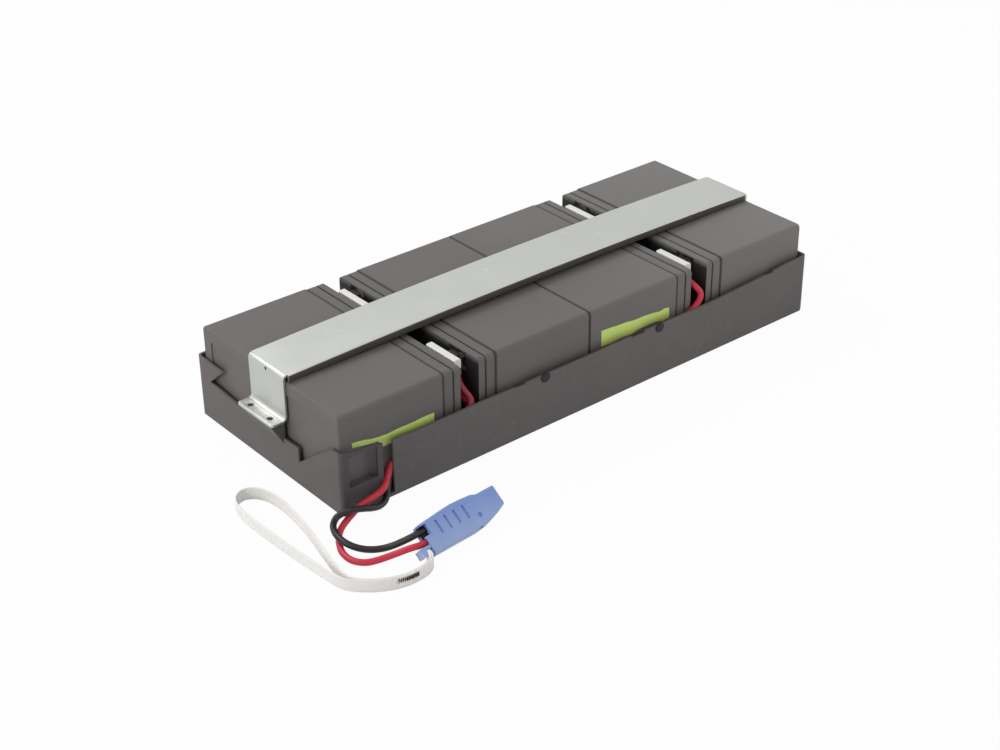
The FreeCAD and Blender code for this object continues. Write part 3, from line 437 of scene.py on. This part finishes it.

# Connector housing: one light blue moulding with a wire well at the back, four grip grooves on
# each broad face, a narrower front with the mouth, and a hook at the back that the strap goes
# through.
def select_none():
    """Leaves edit mode and clears the selection."""
    if bpy.context.object and bpy.context.object.mode != "OBJECT":
        bpy.ops.object.mode_set(mode="OBJECT")
    for item in bpy.context.selected_objects:
        item.select_set(False)


def only(piece):
    """Selects one piece by itself and makes it the active one."""
    select_none()
    piece.select_set(True)
    bpy.context.view_layer.objects.active = piece


def block(name, low, high):
    """Adds a box between two corners given in millimetres."""
    select_none()
    bpy.ops.mesh.primitive_cube_add(size=1.0)
    piece = bpy.context.object
    piece.name = name
    bpy.ops.object.mode_set(mode="EDIT")
    bpy.ops.mesh.select_all(action="SELECT")
    bpy.ops.transform.resize(value=tuple((b - a) / 1000 for a, b in zip(low, high)))
    bpy.ops.transform.translate(value=tuple((a + b) / 2000 for a, b in zip(low, high)))
    bpy.ops.object.mode_set(mode="OBJECT")
    return piece


def pick(piece, wanted, kind="VERT"):
    """Selects the vertices or edges of a mesh in edit mode by their place, in millimetres."""
    bpy.ops.object.mode_set(mode="EDIT")
    bpy.ops.mesh.select_mode(type=kind)
    bpy.ops.mesh.select_all(action="DESELECT")
    form = bmesh.from_edit_mesh(piece.data)
    if kind == "VERT":
        for vertex in form.verts:
            vertex.select = wanted(vertex.co * 1000)
    else:
        for edge in form.edges:
            edge.select = wanted(*(end.co * 1000 for end in edge.verts))
    form.select_flush_mode()
    bmesh.update_edit_mesh(piece.data)


def cut_across(piece, places):
    """Cuts the whole mesh straight across its length at several places, in millimetres."""
    bpy.ops.object.mode_set(mode="EDIT")
    for place in places:
        bpy.ops.mesh.select_all(action="SELECT")
        bpy.ops.mesh.bisect(plane_co=(place / 1000, 0, 0), plane_no=(1, 0, 0))


def apply_all(piece):
    """Turns every modifier of a piece into real geometry."""
    only(piece)
    for modifier in list(piece.modifiers):
        bpy.ops.object.modifier_apply(modifier=modifier.name)


def carve(piece, cutter, operation="DIFFERENCE"):
    """Takes one shape out of another, or joins it on, and removes the cutter."""
    made = piece.modifiers.new("carve", "BOOLEAN")
    made.operation = operation
    made.object = cutter
    made.solver = "EXACT"
    apply_all(piece)
    bpy.data.objects.remove(cutter)


def soften(piece, width, segments=2, angle=30.0):
    """Breaks the sharp edges as a mould or a press does, and smooths the faces between them."""
    made = piece.modifiers.new("soften", "BEVEL")
    made.width = width
    made.segments = segments
    made.limit_method = "ANGLE"
    made.angle_limit = math.radians(angle)
    apply_all(piece)
    bpy.ops.object.shade_smooth_by_angle(angle=math.radians(35.0))


def settle(piece):
    """Makes each flat face look flat up to its softened edges."""
    made = piece.modifiers.new("settle", "WEIGHTED_NORMAL")
    made.keep_sharp = True
    made.weight = 80
    apply_all(piece)


def refine(node, name):
    """A copy of a carried-over piece, with its loose triangles joined into whole faces."""
    source = bpy.data.objects[node]
    mesh = source.data.copy()
    mesh.transform(source.matrix_world)
    mesh.materials.clear()
    piece = bpy.data.objects.new(name, mesh)
    bpy.context.collection.objects.link(piece)
    only(piece)
    bpy.ops.mesh.customdata_custom_splitnormals_clear()
    bpy.ops.object.mode_set(mode="EDIT")
    bpy.ops.mesh.select_all(action="SELECT")
    bpy.ops.mesh.remove_doubles(threshold=0.00001)
    bpy.ops.mesh.dissolve_limited(angle_limit=math.radians(0.5))
    bpy.ops.object.mode_set(mode="OBJECT")
    return piece


def drill(place, radius, depth, axis="Z"):
    """A round cutter centred on a place in millimetres."""
    select_none()
    turn = {"Z": (0, 0, 0), "X": (0, math.pi / 2, 0), "Y": (math.pi / 2, 0, 0)}[axis]
    bpy.ops.mesh.primitive_cylinder_add(
        vertices=32, radius=radius / 1000, depth=depth / 1000,
        location=tuple(v / 1000 for v in place), rotation=turn)
    cutter = bpy.context.object
    bpy.ops.object.transform_apply(location=True, rotation=True, scale=True)
    return cutter


def seat(piece):
    """Puts a piece that was modelled at the origin where the connector lies."""
    piece.matrix_world = plug_place
    only(piece)
    bpy.ops.object.transform_apply(location=True, rotation=True, scale=True)


plug_long = 60.4
plug_half = plug_wide / 2
near_shape = {43.0: 0.8, 47.0: 1.9, 54.0: 3.9, plug_long: 6.35}
far_shape = {
    0.0: -1.0, 9.0: -0.3, 18.0: 0.5, 27.0: 1.0, 35.0: 0.7, 43.0: 0.0, 47.0: -1.35, 54.0: -1.35,
    plug_long: -1.35}
housing = block("connector_shell", (0, -plug_half, 0), (plug_long, plug_half, plug_thick))
cut_across(housing, list(far_shape)[1:-1])
for place, by in near_shape.items():
    pick(housing, lambda p: abs(p.x - place) < 0.1 and p.y < -5)
    bpy.ops.transform.translate(value=(0, by / 1000, 0))
for place, by in far_shape.items():
    pick(housing, lambda p: abs(p.x - place) < 0.1 and p.y > 5)
    bpy.ops.transform.translate(value=(0, by / 1000, 0))
pick(housing, lambda a, b: abs(a.z - b.z) < 0.01 and abs(a.x - b.x) > 1
     and min(abs(a.y), abs(b.y)) > 4, "EDGE")
bpy.ops.mesh.bevel(offset=plug_curve / 1000, segments=5, affect="EDGES")
bpy.ops.object.mode_set(mode="OBJECT")
carve(housing, block("hook", (-8.0, -8.9, 0.7), (1.4, -3.7, 7.9)), "UNION")
carve(housing, block("hook_notch", (-4.6, -9.9, 0.0), (-0.05, -5.7, 9.0)))
groove_first = 10.6
groove_wide = 1.9
groove_pitch = 7.2
for k in range(4):
    start = groove_first + groove_pitch * k
    for low, high in ((7.8, 9.6), (-1.0, 0.8)):
        carve(housing, block("groove", (start, -1.6, low), (start + groove_wide, 7.4, high)))
carve(housing, block("wire_well", (-1.0, 1.3, 3.2), (4.6, 8.4, 9.0)))
carve(housing, block("latch_nick", (35.0, -11.4, 6.4), (38.6, -9.6, 9.0)))
carve(housing, block("mouth", (50.4, -3.2, 1.1), (61.0, 8.2, 7.5)))
for middle in (-1.0, 6.0):
    carve(housing, block("chamber", (38.4, middle - 2.6, 1.1), (51.0, middle + 2.6, 7.5)))
for pole in (near_pole, far_pole):
    carve(housing, drill((0.0, pole, plug_thick / 2), 2.2, 12.0, "X"))
    carve(housing, drill((-0.2, pole, plug_thick / 2), 3.0, 3.4, "X"))
carve(housing, drill((40.8, -3.0, plug_thick), 1.7, 1.9))
soften(housing, 0.00028, angle=40.0)
settle(housing)
seat(housing)
light_blue, shader, tone, where = surface("light_blue_moulding", 0.42, specular=0.4)
flow = tone.noise(where, 55.0, 3.0)
pebble = tone.noise(where, 2600.0, 2.0)
handling_wear_and_painted_shade = tone.noise(where, 260.0, 4.0)
# Painted light and shade: the housing is painted lighter toward its near side and darker toward
# its far side.
wear_and_painted_light = where.parts()[1].ramp(-0.136, -0.157)
mottle = flow * 0.8 + handling_wear_and_painted_shade * 0.2
feed(tone, shader,
     Base_Color=tone.between(
         tone.between(shade(120, 148, 214), shade(146, 170, 226), mottle),
         tone.between(shade(156, 177, 222), shade(182, 199, 234), mottle), wear_and_painted_light),
     Roughness=0.36 + handling_wear_and_painted_shade * 0.18,
     Normal=tone.bump(pebble, 0.15, 0.00012))
housing.data.materials.append(light_blue)
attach(housing, "root")
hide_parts("connector_housing")

# Wire well: a black block in the floor of the wire well, with a hole for the black lead. Its black
# is painted shade for the dark well.
well_shade_block = block("wire_well_shade_block", (0.05, 1.4, 3.25), (4.5, 8.3, 5.6))
carve(well_shade_block, drill((0.0, far_pole, plug_thick / 2), 2.15, 12.0, "X"))
soften(well_shade_block, 0.0002)
seat(well_shade_block)
well_shade_black, shader, tone, where = surface("painted_well_shade", 0.7, specular=0.2)
dust = tone.noise(where, 700.0, 2.0)
feed(tone, shader, Base_Color=tone.between(shade(20, 18, 26), shade(34, 31, 40), dust))
well_shade_block.data.materials.append(well_shade_black)
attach(well_shade_block, "root")

# Contacts: two silver-plated copper tongues, each crimped on its lead inside the housing.
silver, shader, tone, where = surface("silver_plate", 0.28, metallic=1.0)
tarnish = tone.noise(where, 420.0, 3.0)
feed(tone, shader,
     Base_Color=tone.between(shade(226, 222, 214), shade(188, 176, 158), tarnish * 0.6),
     Roughness=0.22 + tarnish * 0.25)


def dress(node, material):
    """Gives a carried-over piece its finish."""
    piece = bpy.data.objects[node]
    for slot in piece.material_slots:
        slot.material = material
    if not piece.material_slots:
        piece.data.materials.append(material)


dress("connector_contacts", silver)

# Tray: one shallow moulding in charcoal ABS, with ribs that hold the blocks, a window and a
# cable slot in its near wall and a stepped gate at each end. The near rim dips between its ends.
tray = refine("tray", "tray_moulding")
rim_high = 45.0
rim_start = -198.6
rim_end = 184.0
rim = {
    rim_start: rim_high, -187.6: 44.3, -178.6: 42.3, -168.6: 41.0, -152.0: 40.4, 110.0: 40.4,
    137.0: 41.7, 166.0: 43.3, rim_end: rim_high}
dip = block("rim_dip", (rim_start, -84.0, rim_high), (rim_end, -79.0, rim_high + 7.0))
cut_across(dip, list(rim)[1:-1])
for place, height in rim.items():
    pick(dip, lambda p: abs(p.x - place) < 0.1 and p.z < rim_high + 1)
    bpy.ops.transform.translate(value=(0, 0, (height - rim_high) / 1000))
bpy.ops.object.mode_set(mode="OBJECT")
carve(tray, dip)
bpy.ops.object.shade_smooth_by_angle(angle=math.radians(35.0))
settle(tray)
charcoal, shader, tone, where = surface("charcoal_moulding", 0.5, specular=0.35)
cloud = tone.noise(where, 16.0, 4.0, 0.6)
scuff = tone.noise(where, 190.0, 5.0, 0.7)
pebble = tone.noise(where, 1800.0, 3.0)
wear_and_painted_light = tone.node("ShaderNodeValToRGB", {"stops": ((0.56, 0.0), (0.74, 1.0))}, {0: scuff})
along, across = where.parts()[:2]
# Painted shade: the near wall from the front end to the slot, by the window, is painted darker.
handling_wear_and_painted_shade = across.ramp(-0.0765, -0.0805, 0.0, 0.6) * along.ramp(-0.171, -0.168, 1.0, 0.0)
# Painted light: the front end face of the tray is painted lighter and warmer.
ends = along.ramp(-0.2120, -0.2136, 0.0, 0.5)
moulded = tone.between(shade(84, 82, 86), shade(108, 102, 98), cloud)
moulded = tone.between(moulded, shade(128, 122, 118), wear_and_painted_light * 0.4)
moulded = tone.between(moulded, shade(130, 116, 104), ends)
feed(tone, shader,
     Base_Color=tone.between(moulded, shade(62, 60, 64), handling_wear_and_painted_shade),
     Roughness=0.44 + scuff * 0.22,
     Normal=tone.bump(pebble, 0.2, 0.0002))
tray.data.materials.append(charcoal)
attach(tray, "root")
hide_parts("tray")

# Rim pegs: two black plastic pegs, pushed into the holes under the near rim.
near_face = -81.8
peg_high = 38.4
peg_radius = 3.7
peg_thick = 0.8
peg_black, shader, tone, where = surface("peg_black", 0.5, specular=0.3)
dust = tone.noise(where, 500.0, 3.0)
feed(tone, shader, Base_Color=tone.between(shade(22, 20, 22), shade(36, 33, 35), dust))
for number, place in (("1", -43.6), ("2", 58.8)):
    peg = drill((place, near_face, peg_high), peg_radius, peg_thick, "Y")
    peg.name = f"rim_peg_{number}"
    soften(peg, 0.0003, 3)
    peg.data.materials.append(peg_black)
    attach(peg, "root")

# Blocks: four sealed lead-acid blocks lie on their sides, lids towards each other in pairs. Each
# has a matt grey ABS case with a shallow panel in its base and a lid with a groove at its seam.
base_at = {"1": front_end, "2": 0.0, "3": 0.0, "4": -front_end}
seam_at = {"1": -122.4, "2": -80.2, "3": 80.2, "4": 122.4}
lid_face_inner = 94.0
lid_face_outer = 108.6
# Painted shade: a dark grey along the lid seams and the joint between the middle blocks.
painted_seam_shade = shade(58, 56, 56)
# Near-black painted shade for the lid faces deep inside the gaps between the lids.
painted_gap_shade = shade(26, 24, 26)


def joints(where):
    """Where painted shade darkens the seams of the lids and the joint between the middle blocks, 0
    to 1.
    """
    along = where.parts()[0].size()
    gap = along
    for seam in (seam_at["3"], seam_at["4"]):
        gap = gap.maths("MINIMUM", gap, (along - seam / 1000).size())
    return gap.ramp(0.0006, 0.0015, 1.0, 0.0)


def between_lids(where):
    """How deep a place lies in a gap between two lids, where the lid faces get painted shade, 0 to
    1.
    """
    place = where.parts()
    along = place[0].size()
    inside = (along > (lid_face_inner - 0.15) / 1000) * (along < (lid_face_outer + 0.15) / 1000)
    return inside * place[2].ramp(0.0669, 0.0635)


def painted_light_toward_back(where):
    """How far a place lies toward the back end, 0 to 1, where the cases and lids are painted
    paler: painted light.
    """
    return where.parts()[0].ramp(-0.02, 0.2)


# The cases and lids are painted paler toward the back end, which is painted light for the brighter
# light there.
case_grey, shader, tone, where = surface("case_moulding", 0.62, specular=0.3)
cloud = tone.noise(where, 22.0, 4.0, 0.6)
rub = tone.noise(where, 240.0, 5.0, 0.65)
pebble = tone.noise(where, 1500.0, 3.0)
clean = tone.between(shade(103, 102, 99), shade(114, 109, 108), cloud * 0.8 + rub * 0.3)
clean = tone.between(clean, shade(128, 126, 124), painted_light_toward_back(where) * 0.9)
feed(tone, shader,
     Base_Color=tone.between(clean, painted_seam_shade, joints(where) * 0.85),
     Roughness=0.55 + rub * 0.2,
     Normal=tone.bump(pebble, 0.3, 0.00025))
# The lids and vent covers are painted near-black deep inside the gaps between the lids: painted
# shade.
lid_grey, shader, tone, where = surface("lid_moulding", 0.6, specular=0.3)
cloud = tone.noise(where, 30.0, 4.0, 0.6)
pebble = tone.noise(where, 1700.0, 3.0)
clean = tone.between(shade(101, 100, 97), shade(111, 107, 105), cloud)
clean = tone.between(clean, shade(126, 124, 122), painted_light_toward_back(where) * 0.9)
clean = tone.between(clean, painted_seam_shade, joints(where) * 0.85)
feed(tone, shader,
     Base_Color=tone.between(clean, painted_gap_shade, between_lids(where) * 0.9),
     Roughness=0.52 + cloud * 0.2,
     Normal=tone.bump(pebble, 0.3, 0.00025))
vent_grey, shader, tone, where = surface("vent_cover", 0.58, specular=0.3)
cloud = tone.noise(where, 60.0, 3.0)
feed(tone, shader,
     Base_Color=tone.between(tone.between(shade(100, 99, 95), shade(110, 107, 103), cloud),
                             painted_gap_shade, between_lids(where) * 0.9),
     Normal=tone.bump(tone.noise(where, 2000.0, 2.0), 0.25, 0.0002))
for number in "1234":
    case = refine(f"battery_case_{number}", f"case_{number}")
    base = base_at[number]
    seam = seam_at[number]
    pick(case, lambda a, b: abs(a.x - base) < 0.02 and abs(b.x - base) < 0.02 and all(
        abs(p.y) > 67 or p.z < 11.5 or p.z > 59.5 for p in (a, b)), "EDGE")
    bpy.ops.mesh.bevel(offset=0.0012, segments=4, affect="EDGES")
    pick(case, lambda a, b: abs(a.x - seam) < 0.02 and abs(b.x - seam) < 0.02, "EDGE")
    bpy.ops.mesh.bevel(offset=0.0009, segments=2, affect="EDGES")
    bpy.ops.object.mode_set(mode="OBJECT")
    bpy.ops.object.shade_smooth_by_angle(angle=math.radians(35.0))
    settle(case)
    case.data.materials.append(case_grey)
    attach(case, "root")
    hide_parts(f"battery_case_{number}")
    dress(f"battery_lid_{number}", lid_grey)
    dress(f"vent_strip_{number}", vent_grey)

# Terminals: tin-plated brass tabs, two on each lid, pressed through the lid and bent up.
# The tin is painted darker than bright tin: painted shade for the dark gaps that the tabs stand
# in.
tin, shader, tone, where = surface("tin_plate", 0.35, metallic=1.0)
smear = tone.noise(where, 300.0, 3.0)
feed(tone, shader,
     Base_Color=tone.between(shade(150, 148, 142), shade(118, 113, 104), smear * 0.7),
     Roughness=0.28 + smear * 0.25)
for number in "1234":
    dress(f"terminals_{number}", tin)

# Shrouds and boots: white nylon shrouds over the terminals of blocks 1 and 3, and dark vinyl boots
# over those of blocks 2 and 4, pushed on after the wires are crimped.
white_nylon, shader, tone, where = surface("white_shroud", 0.4, specular=0.45)
haze = tone.noise(where, 140.0, 3.0)
feed(tone, shader,
     Base_Color=tone.between(shade(240, 240, 236), shade(224, 222, 214), haze * 0.7),
     Normal=tone.bump(tone.noise(where, 1600.0, 2.0), 0.12, 0.0002))
dark_vinyl, shader, tone, where = surface("vinyl_boot", 0.5, specular=0.35)
haze = tone.noise(where, 200.0, 3.0)
feed(tone, shader,
     Base_Color=tone.between(shade(42, 38, 38), shade(60, 54, 52), haze),
     Normal=tone.bump(tone.noise(where, 1400.0, 2.0), 0.2, 0.0002))
for hand in ("near", "far"):
    for number in "13":
        dress(f"terminal_shroud_{number}_{hand}", white_nylon)
    for number in "24":
        dress(f"terminal_boot_{number}_{hand}", dark_vinyl)
for number in "12":
    dress(f"link_wire_{number}", black_skin)

# Colour bands: thin lime tape on the near sides of blocks 1 and 3, above the rim of the tray.
lime, shader, tone, where = surface("lime_tape", 0.45, specular=0.4)
wrinkle = tone.noise(where, 130.0, 4.0)
feed(tone, shader,
     Base_Color=tone.between(shade(200, 227, 112), shade(214, 238, 138), wrinkle),
     Roughness=0.38 + wrinkle * 0.2,
     Normal=tone.bump(wrinkle, 0.3, 0.0003))
bands = {
    "colour_band_1": (
        (9.2, 46.6), (14.0, 46.0), (19.0, 45.2), (23.0, 44.0), (28.0, 43.2), (36.0, 42.6),
        (44.0, 43.1), (55.0, 43.0), (64.0, 43.5), (72.2, 43.3), (72.0, 35.0), (30.0, 35.0),
        (29.0, 40.2), (23.0, 40.8), (19.0, 41.4), (14.0, 42.4), (9.4, 43.2)),
    "colour_band_3": (
        (213.0, 50.4), (220.0, 50.2), (227.0, 49.4), (236.0, 49.0), (243.0, 48.0), (252.0, 47.9),
        (260.0, 47.2), (267.0, 46.2), (271.0, 47.0), (275.6, 46.2), (276.0, 38.4), (270.0, 37.6),
        (264.0, 39.4), (256.0, 39.8), (247.0, 39.4), (241.0, 38.2), (231.0, 38.8), (222.0, 37.8),
        (213.2, 38.4)),
}
for name, corners in bands.items():
    form = bmesh.new()
    form.faces.new([form.verts.new(at(x, -0.01, z)) for x, z in corners])
    mesh = bpy.data.meshes.new(name)
    form.to_mesh(mesh)
    form.free()
    band = bpy.data.objects.new(name, mesh)
    bpy.context.collection.objects.link(band)
    gauge = band.modifiers.new("gauge", "SOLIDIFY")
    gauge.thickness = 0.00018
    gauge.offset = 1.0 if mesh.polygons[0].normal.y < 0 else -1.0
    apply_all(band)
    soften(band, 0.00006)
    band.data.materials.append(lime)
    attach(band, "root")

# Hold-down bar: one strip of zinc-plated steel, 1.5 mm thick, bowed up a little between its
# legs. Its long edges are folded down, and each leg goes down inside a gate to a foot with two
# screw holes.
def fold_on(x, y, z):
    """Grows the sheet on from its selected edges, in millimetres."""
    bpy.ops.mesh.extrude_region_move(TRANSFORM_OT_translate={
        "value": (x / 1000, y / 1000, z / 1000)})


sheet = 1.5
bar_half = 204.4
bar_middle = -1.4
bar_high = 73.0
bow = 3.0
bow_half = 203.0
leg_half = 19.4
leg_long = 31.5
foot_long = 11.0
skirt_end = 201.0
skirt_deep = 5.0
foot_high = 41.0
screw_out = 6.2
screw_side = 11.0
screw_radius = 2.1
leg_hole_high = 70.3
leg_hole_radius = 1.2
select_none()
bpy.ops.mesh.primitive_plane_add(size=1.0)
bar = bpy.context.object
bar.name = "hold_down_strip"
bpy.ops.object.mode_set(mode="EDIT")
bpy.ops.mesh.select_all(action="SELECT")
bpy.ops.transform.resize(value=(2 * bar_half / 1000, 2 * leg_half / 1000, 1))
bpy.ops.transform.translate(value=(0, 0, bar_high / 1000))
columns = [-skirt_end + skirt_end * 2 * i / 24 for i in range(25)]
cut_across(bar, columns)
for sign in (-1, 1):
    pick(bar, lambda a, b: abs(a.y - sign * leg_half) < 0.01 and abs(b.y - sign * leg_half) < 0.01
         and abs(a.x + b.x) / 2 < skirt_end, "EDGE")
    fold_on(0, sign * sheet, 0)
    fold_on(0, 0, -skirt_deep)
for column in columns:
    pick(bar, lambda p: abs(p.x - column) < 0.01)
    bpy.ops.transform.translate(value=(0, 0, bow / 1000 * (1 - (column / bow_half) ** 2)))
for sign in (-1, 1):
    pick(bar, lambda a, b: abs(a.x - sign * bar_half) < 0.01
         and abs(b.x - sign * bar_half) < 0.01, "EDGE")
    fold_on(0, 0, -leg_long)
    fold_on(sign * foot_long, 0, 0)
pick(bar, lambda p: abs(p.x) > bar_half + foot_long - 1)
bpy.ops.mesh.bevel(offset=0.002, segments=5, affect="VERTICES")
pick(bar, lambda a, b: abs(a.x - b.x) < 0.01 and abs(abs(a.x) - bar_half) < 0.01
     and abs(a.z - b.z) < 0.01, "EDGE")
bpy.ops.mesh.bevel(offset=0.0026, segments=6, affect="EDGES")
fold = leg_half + sheet
pick(bar, lambda a, b: abs(abs(a.y) - fold) < 0.01 and abs(abs(b.y) - fold) < 0.01
     and min(a.z, b.z) > bar_high - 0.1 and abs(a.x - b.x) > 1, "EDGE")
bpy.ops.mesh.bevel(offset=0.0013, segments=5, affect="EDGES")
bpy.ops.mesh.select_all(action="SELECT")
bpy.ops.mesh.normals_make_consistent(inside=False)
bpy.ops.transform.translate(value=(0, bar_middle / 1000, 0))
bpy.ops.object.mode_set(mode="OBJECT")
top_faces = [f for f in bar.data.polygons if abs(f.center.x) < 0.1 and abs(f.center.y) < 0.015]
gauge = bar.modifiers.new("gauge", "SOLIDIFY")
gauge.thickness = sheet / 1000
gauge.offset = -1.0 if sum(f.normal.z for f in top_faces) > 0 else 1.0
apply_all(bar)
for sign in (-1, 1):
    for hand in (-1, 1):
        screw = (sign * (bar_half + screw_out), bar_middle + hand * screw_side, foot_high)
        carve(bar, drill(screw, screw_radius, 6.0))
    carve(bar, drill((sign * bar_half, bar_middle, leg_hole_high), leg_hole_radius, 8.0, "X"))
soften(bar, 0.0002, angle=40.0)
zinc, shader, tone, where = surface("zinc_plate", 0.42, metallic=0.9)
bloom = tone.noise(where, 26.0, 4.0, 0.6)
brushed = tone.node("ShaderNodeMapping", {}, {"Vector": where, "Scale": (14.0, 900.0, 300.0)})
drawn = tone.noise(brushed, 1.0, 4.0, 0.7)
spots = tone.node("ShaderNodeValToRGB", {"stops": ((0.68, 0.0), (0.76, 1.0))}, {
    0: tone.noise(where, 120.0, 2.0)})
plated = tone.between(shade(189, 192, 188), shade(202, 203, 198), bloom)
feed(tone, shader,
     Base_Color=tone.between(plated, shade(222, 222, 216), spots * 0.3),
     Roughness=0.34 + bloom * 0.12 + drawn * 0.1,
     Normal=tone.bump(drawn, 0.08, 0.00012))
bar.data.materials.append(zinc)
# The folded long edges get a dark, dull zinc: painted shade and painted dark reflection on those
# upright faces.
painted_shade_zinc, shader, tone, where = surface("painted_shade_zinc", 0.6, metallic=0.6, specular=0.3)
shade_mottle = tone.noise(where, 160.0, 4.0, 0.6)
feed(tone, shader,
     Base_Color=tone.between(shade(84, 79, 74), shade(104, 98, 92), shade_mottle),
     Roughness=0.5 + shade_mottle * 0.2)
bar.data.materials.append(painted_shade_zinc)
for face in bar.data.polygons:
    if abs(face.normal.y) > 0.8 and abs(face.center.x) < skirt_end / 1000 + 0.001:
        face.material_index = 1
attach(bar, "root")
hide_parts("hold_down_bar")

# Floor and light: a plain pale floor under a soft key light from behind, with weaker lights from
# the front end and the near right, and a white surround that the metal can reflect.
def kinds_of_ray(tree):
    """Whether a ray comes straight from the camera, off a glossy face or through one, 0 or 1."""
    outputs = tree.nodes.new("ShaderNodeLightPath").outputs
    names = ("Is Camera Ray", "Is Glossy Ray", "Is Transmission Ray")
    return [Tone(tree, outputs[name]) for name in names]


select_none()
bpy.ops.mesh.primitive_plane_add(size=40.0, location=(0, 0, -0.0002))
floor = bpy.context.object
floor.name = "pale_floor"
pale = bpy.data.materials.new("pale_floor")
pale.use_nodes = True
tree = pale.node_tree
diffuse = tree.nodes["Principled BSDF"]
diffuse.inputs["Base Color"].default_value = (0.82, 0.82, 0.82, 1.0)
diffuse.inputs["Roughness"].default_value = 0.9
direct, shiny, through = kinds_of_ray(tree)
glow = tree.nodes.new("ShaderNodeEmission")
glow.inputs["Strength"].default_value = 1.0
blend = tree.nodes.new("ShaderNodeMixShader")
tree.links.new((direct * 0.96 + shiny * 0.8 + through * 0.8).socket, blend.inputs[0])
tree.links.new(diffuse.outputs[0], blend.inputs[1])
tree.links.new(glow.outputs[0], blend.inputs[2])
tree.links.new(blend.outputs[0], tree.nodes["Material Output"].inputs["Surface"])
floor.data.materials.append(pale)

world = bpy.data.worlds.new("surround")
bpy.context.scene.world = world
world.use_nodes = True
tree = world.node_tree
direct, shiny, through = kinds_of_ray(tree)
seen = direct.maths("MINIMUM", direct + shiny * 0.85 + through, 1.0)
background = tree.nodes["Background"]
tree.links.new((0.5 + seen * 0.5).socket, background.inputs["Strength"])
background.inputs["Color"].default_value = (1.0, 1.0, 1.0, 1.0)


def lamp(name, place, aim, size, power):
    """A round soft light that looks at one place."""
    data = bpy.data.lights.new(name, "AREA")
    data.shape = "DISK"
    data.size = size
    data.energy = power
    item = bpy.data.objects.new(name, data)
    bpy.context.collection.objects.link(item)
    item.location = place
    item.rotation_euler = (Vector(aim) - Vector(place)).to_track_quat("-Z", "Y").to_euler()


lamp("key", (-0.5, 1.2, 1.5), (0, 0, 0), 1.1, 15.3)
lamp("side", (-1.7, -0.1, 0.7), (0, 0, 0.03), 0.9, 6.5)
lamp("fill", (1.3, -1.2, 0.7), (0.15, 0, 0.05), 0.9, 4.3)

bpy.context.scene.view_settings.view_transform = "Standard"
bpy.context.view_layer.update()
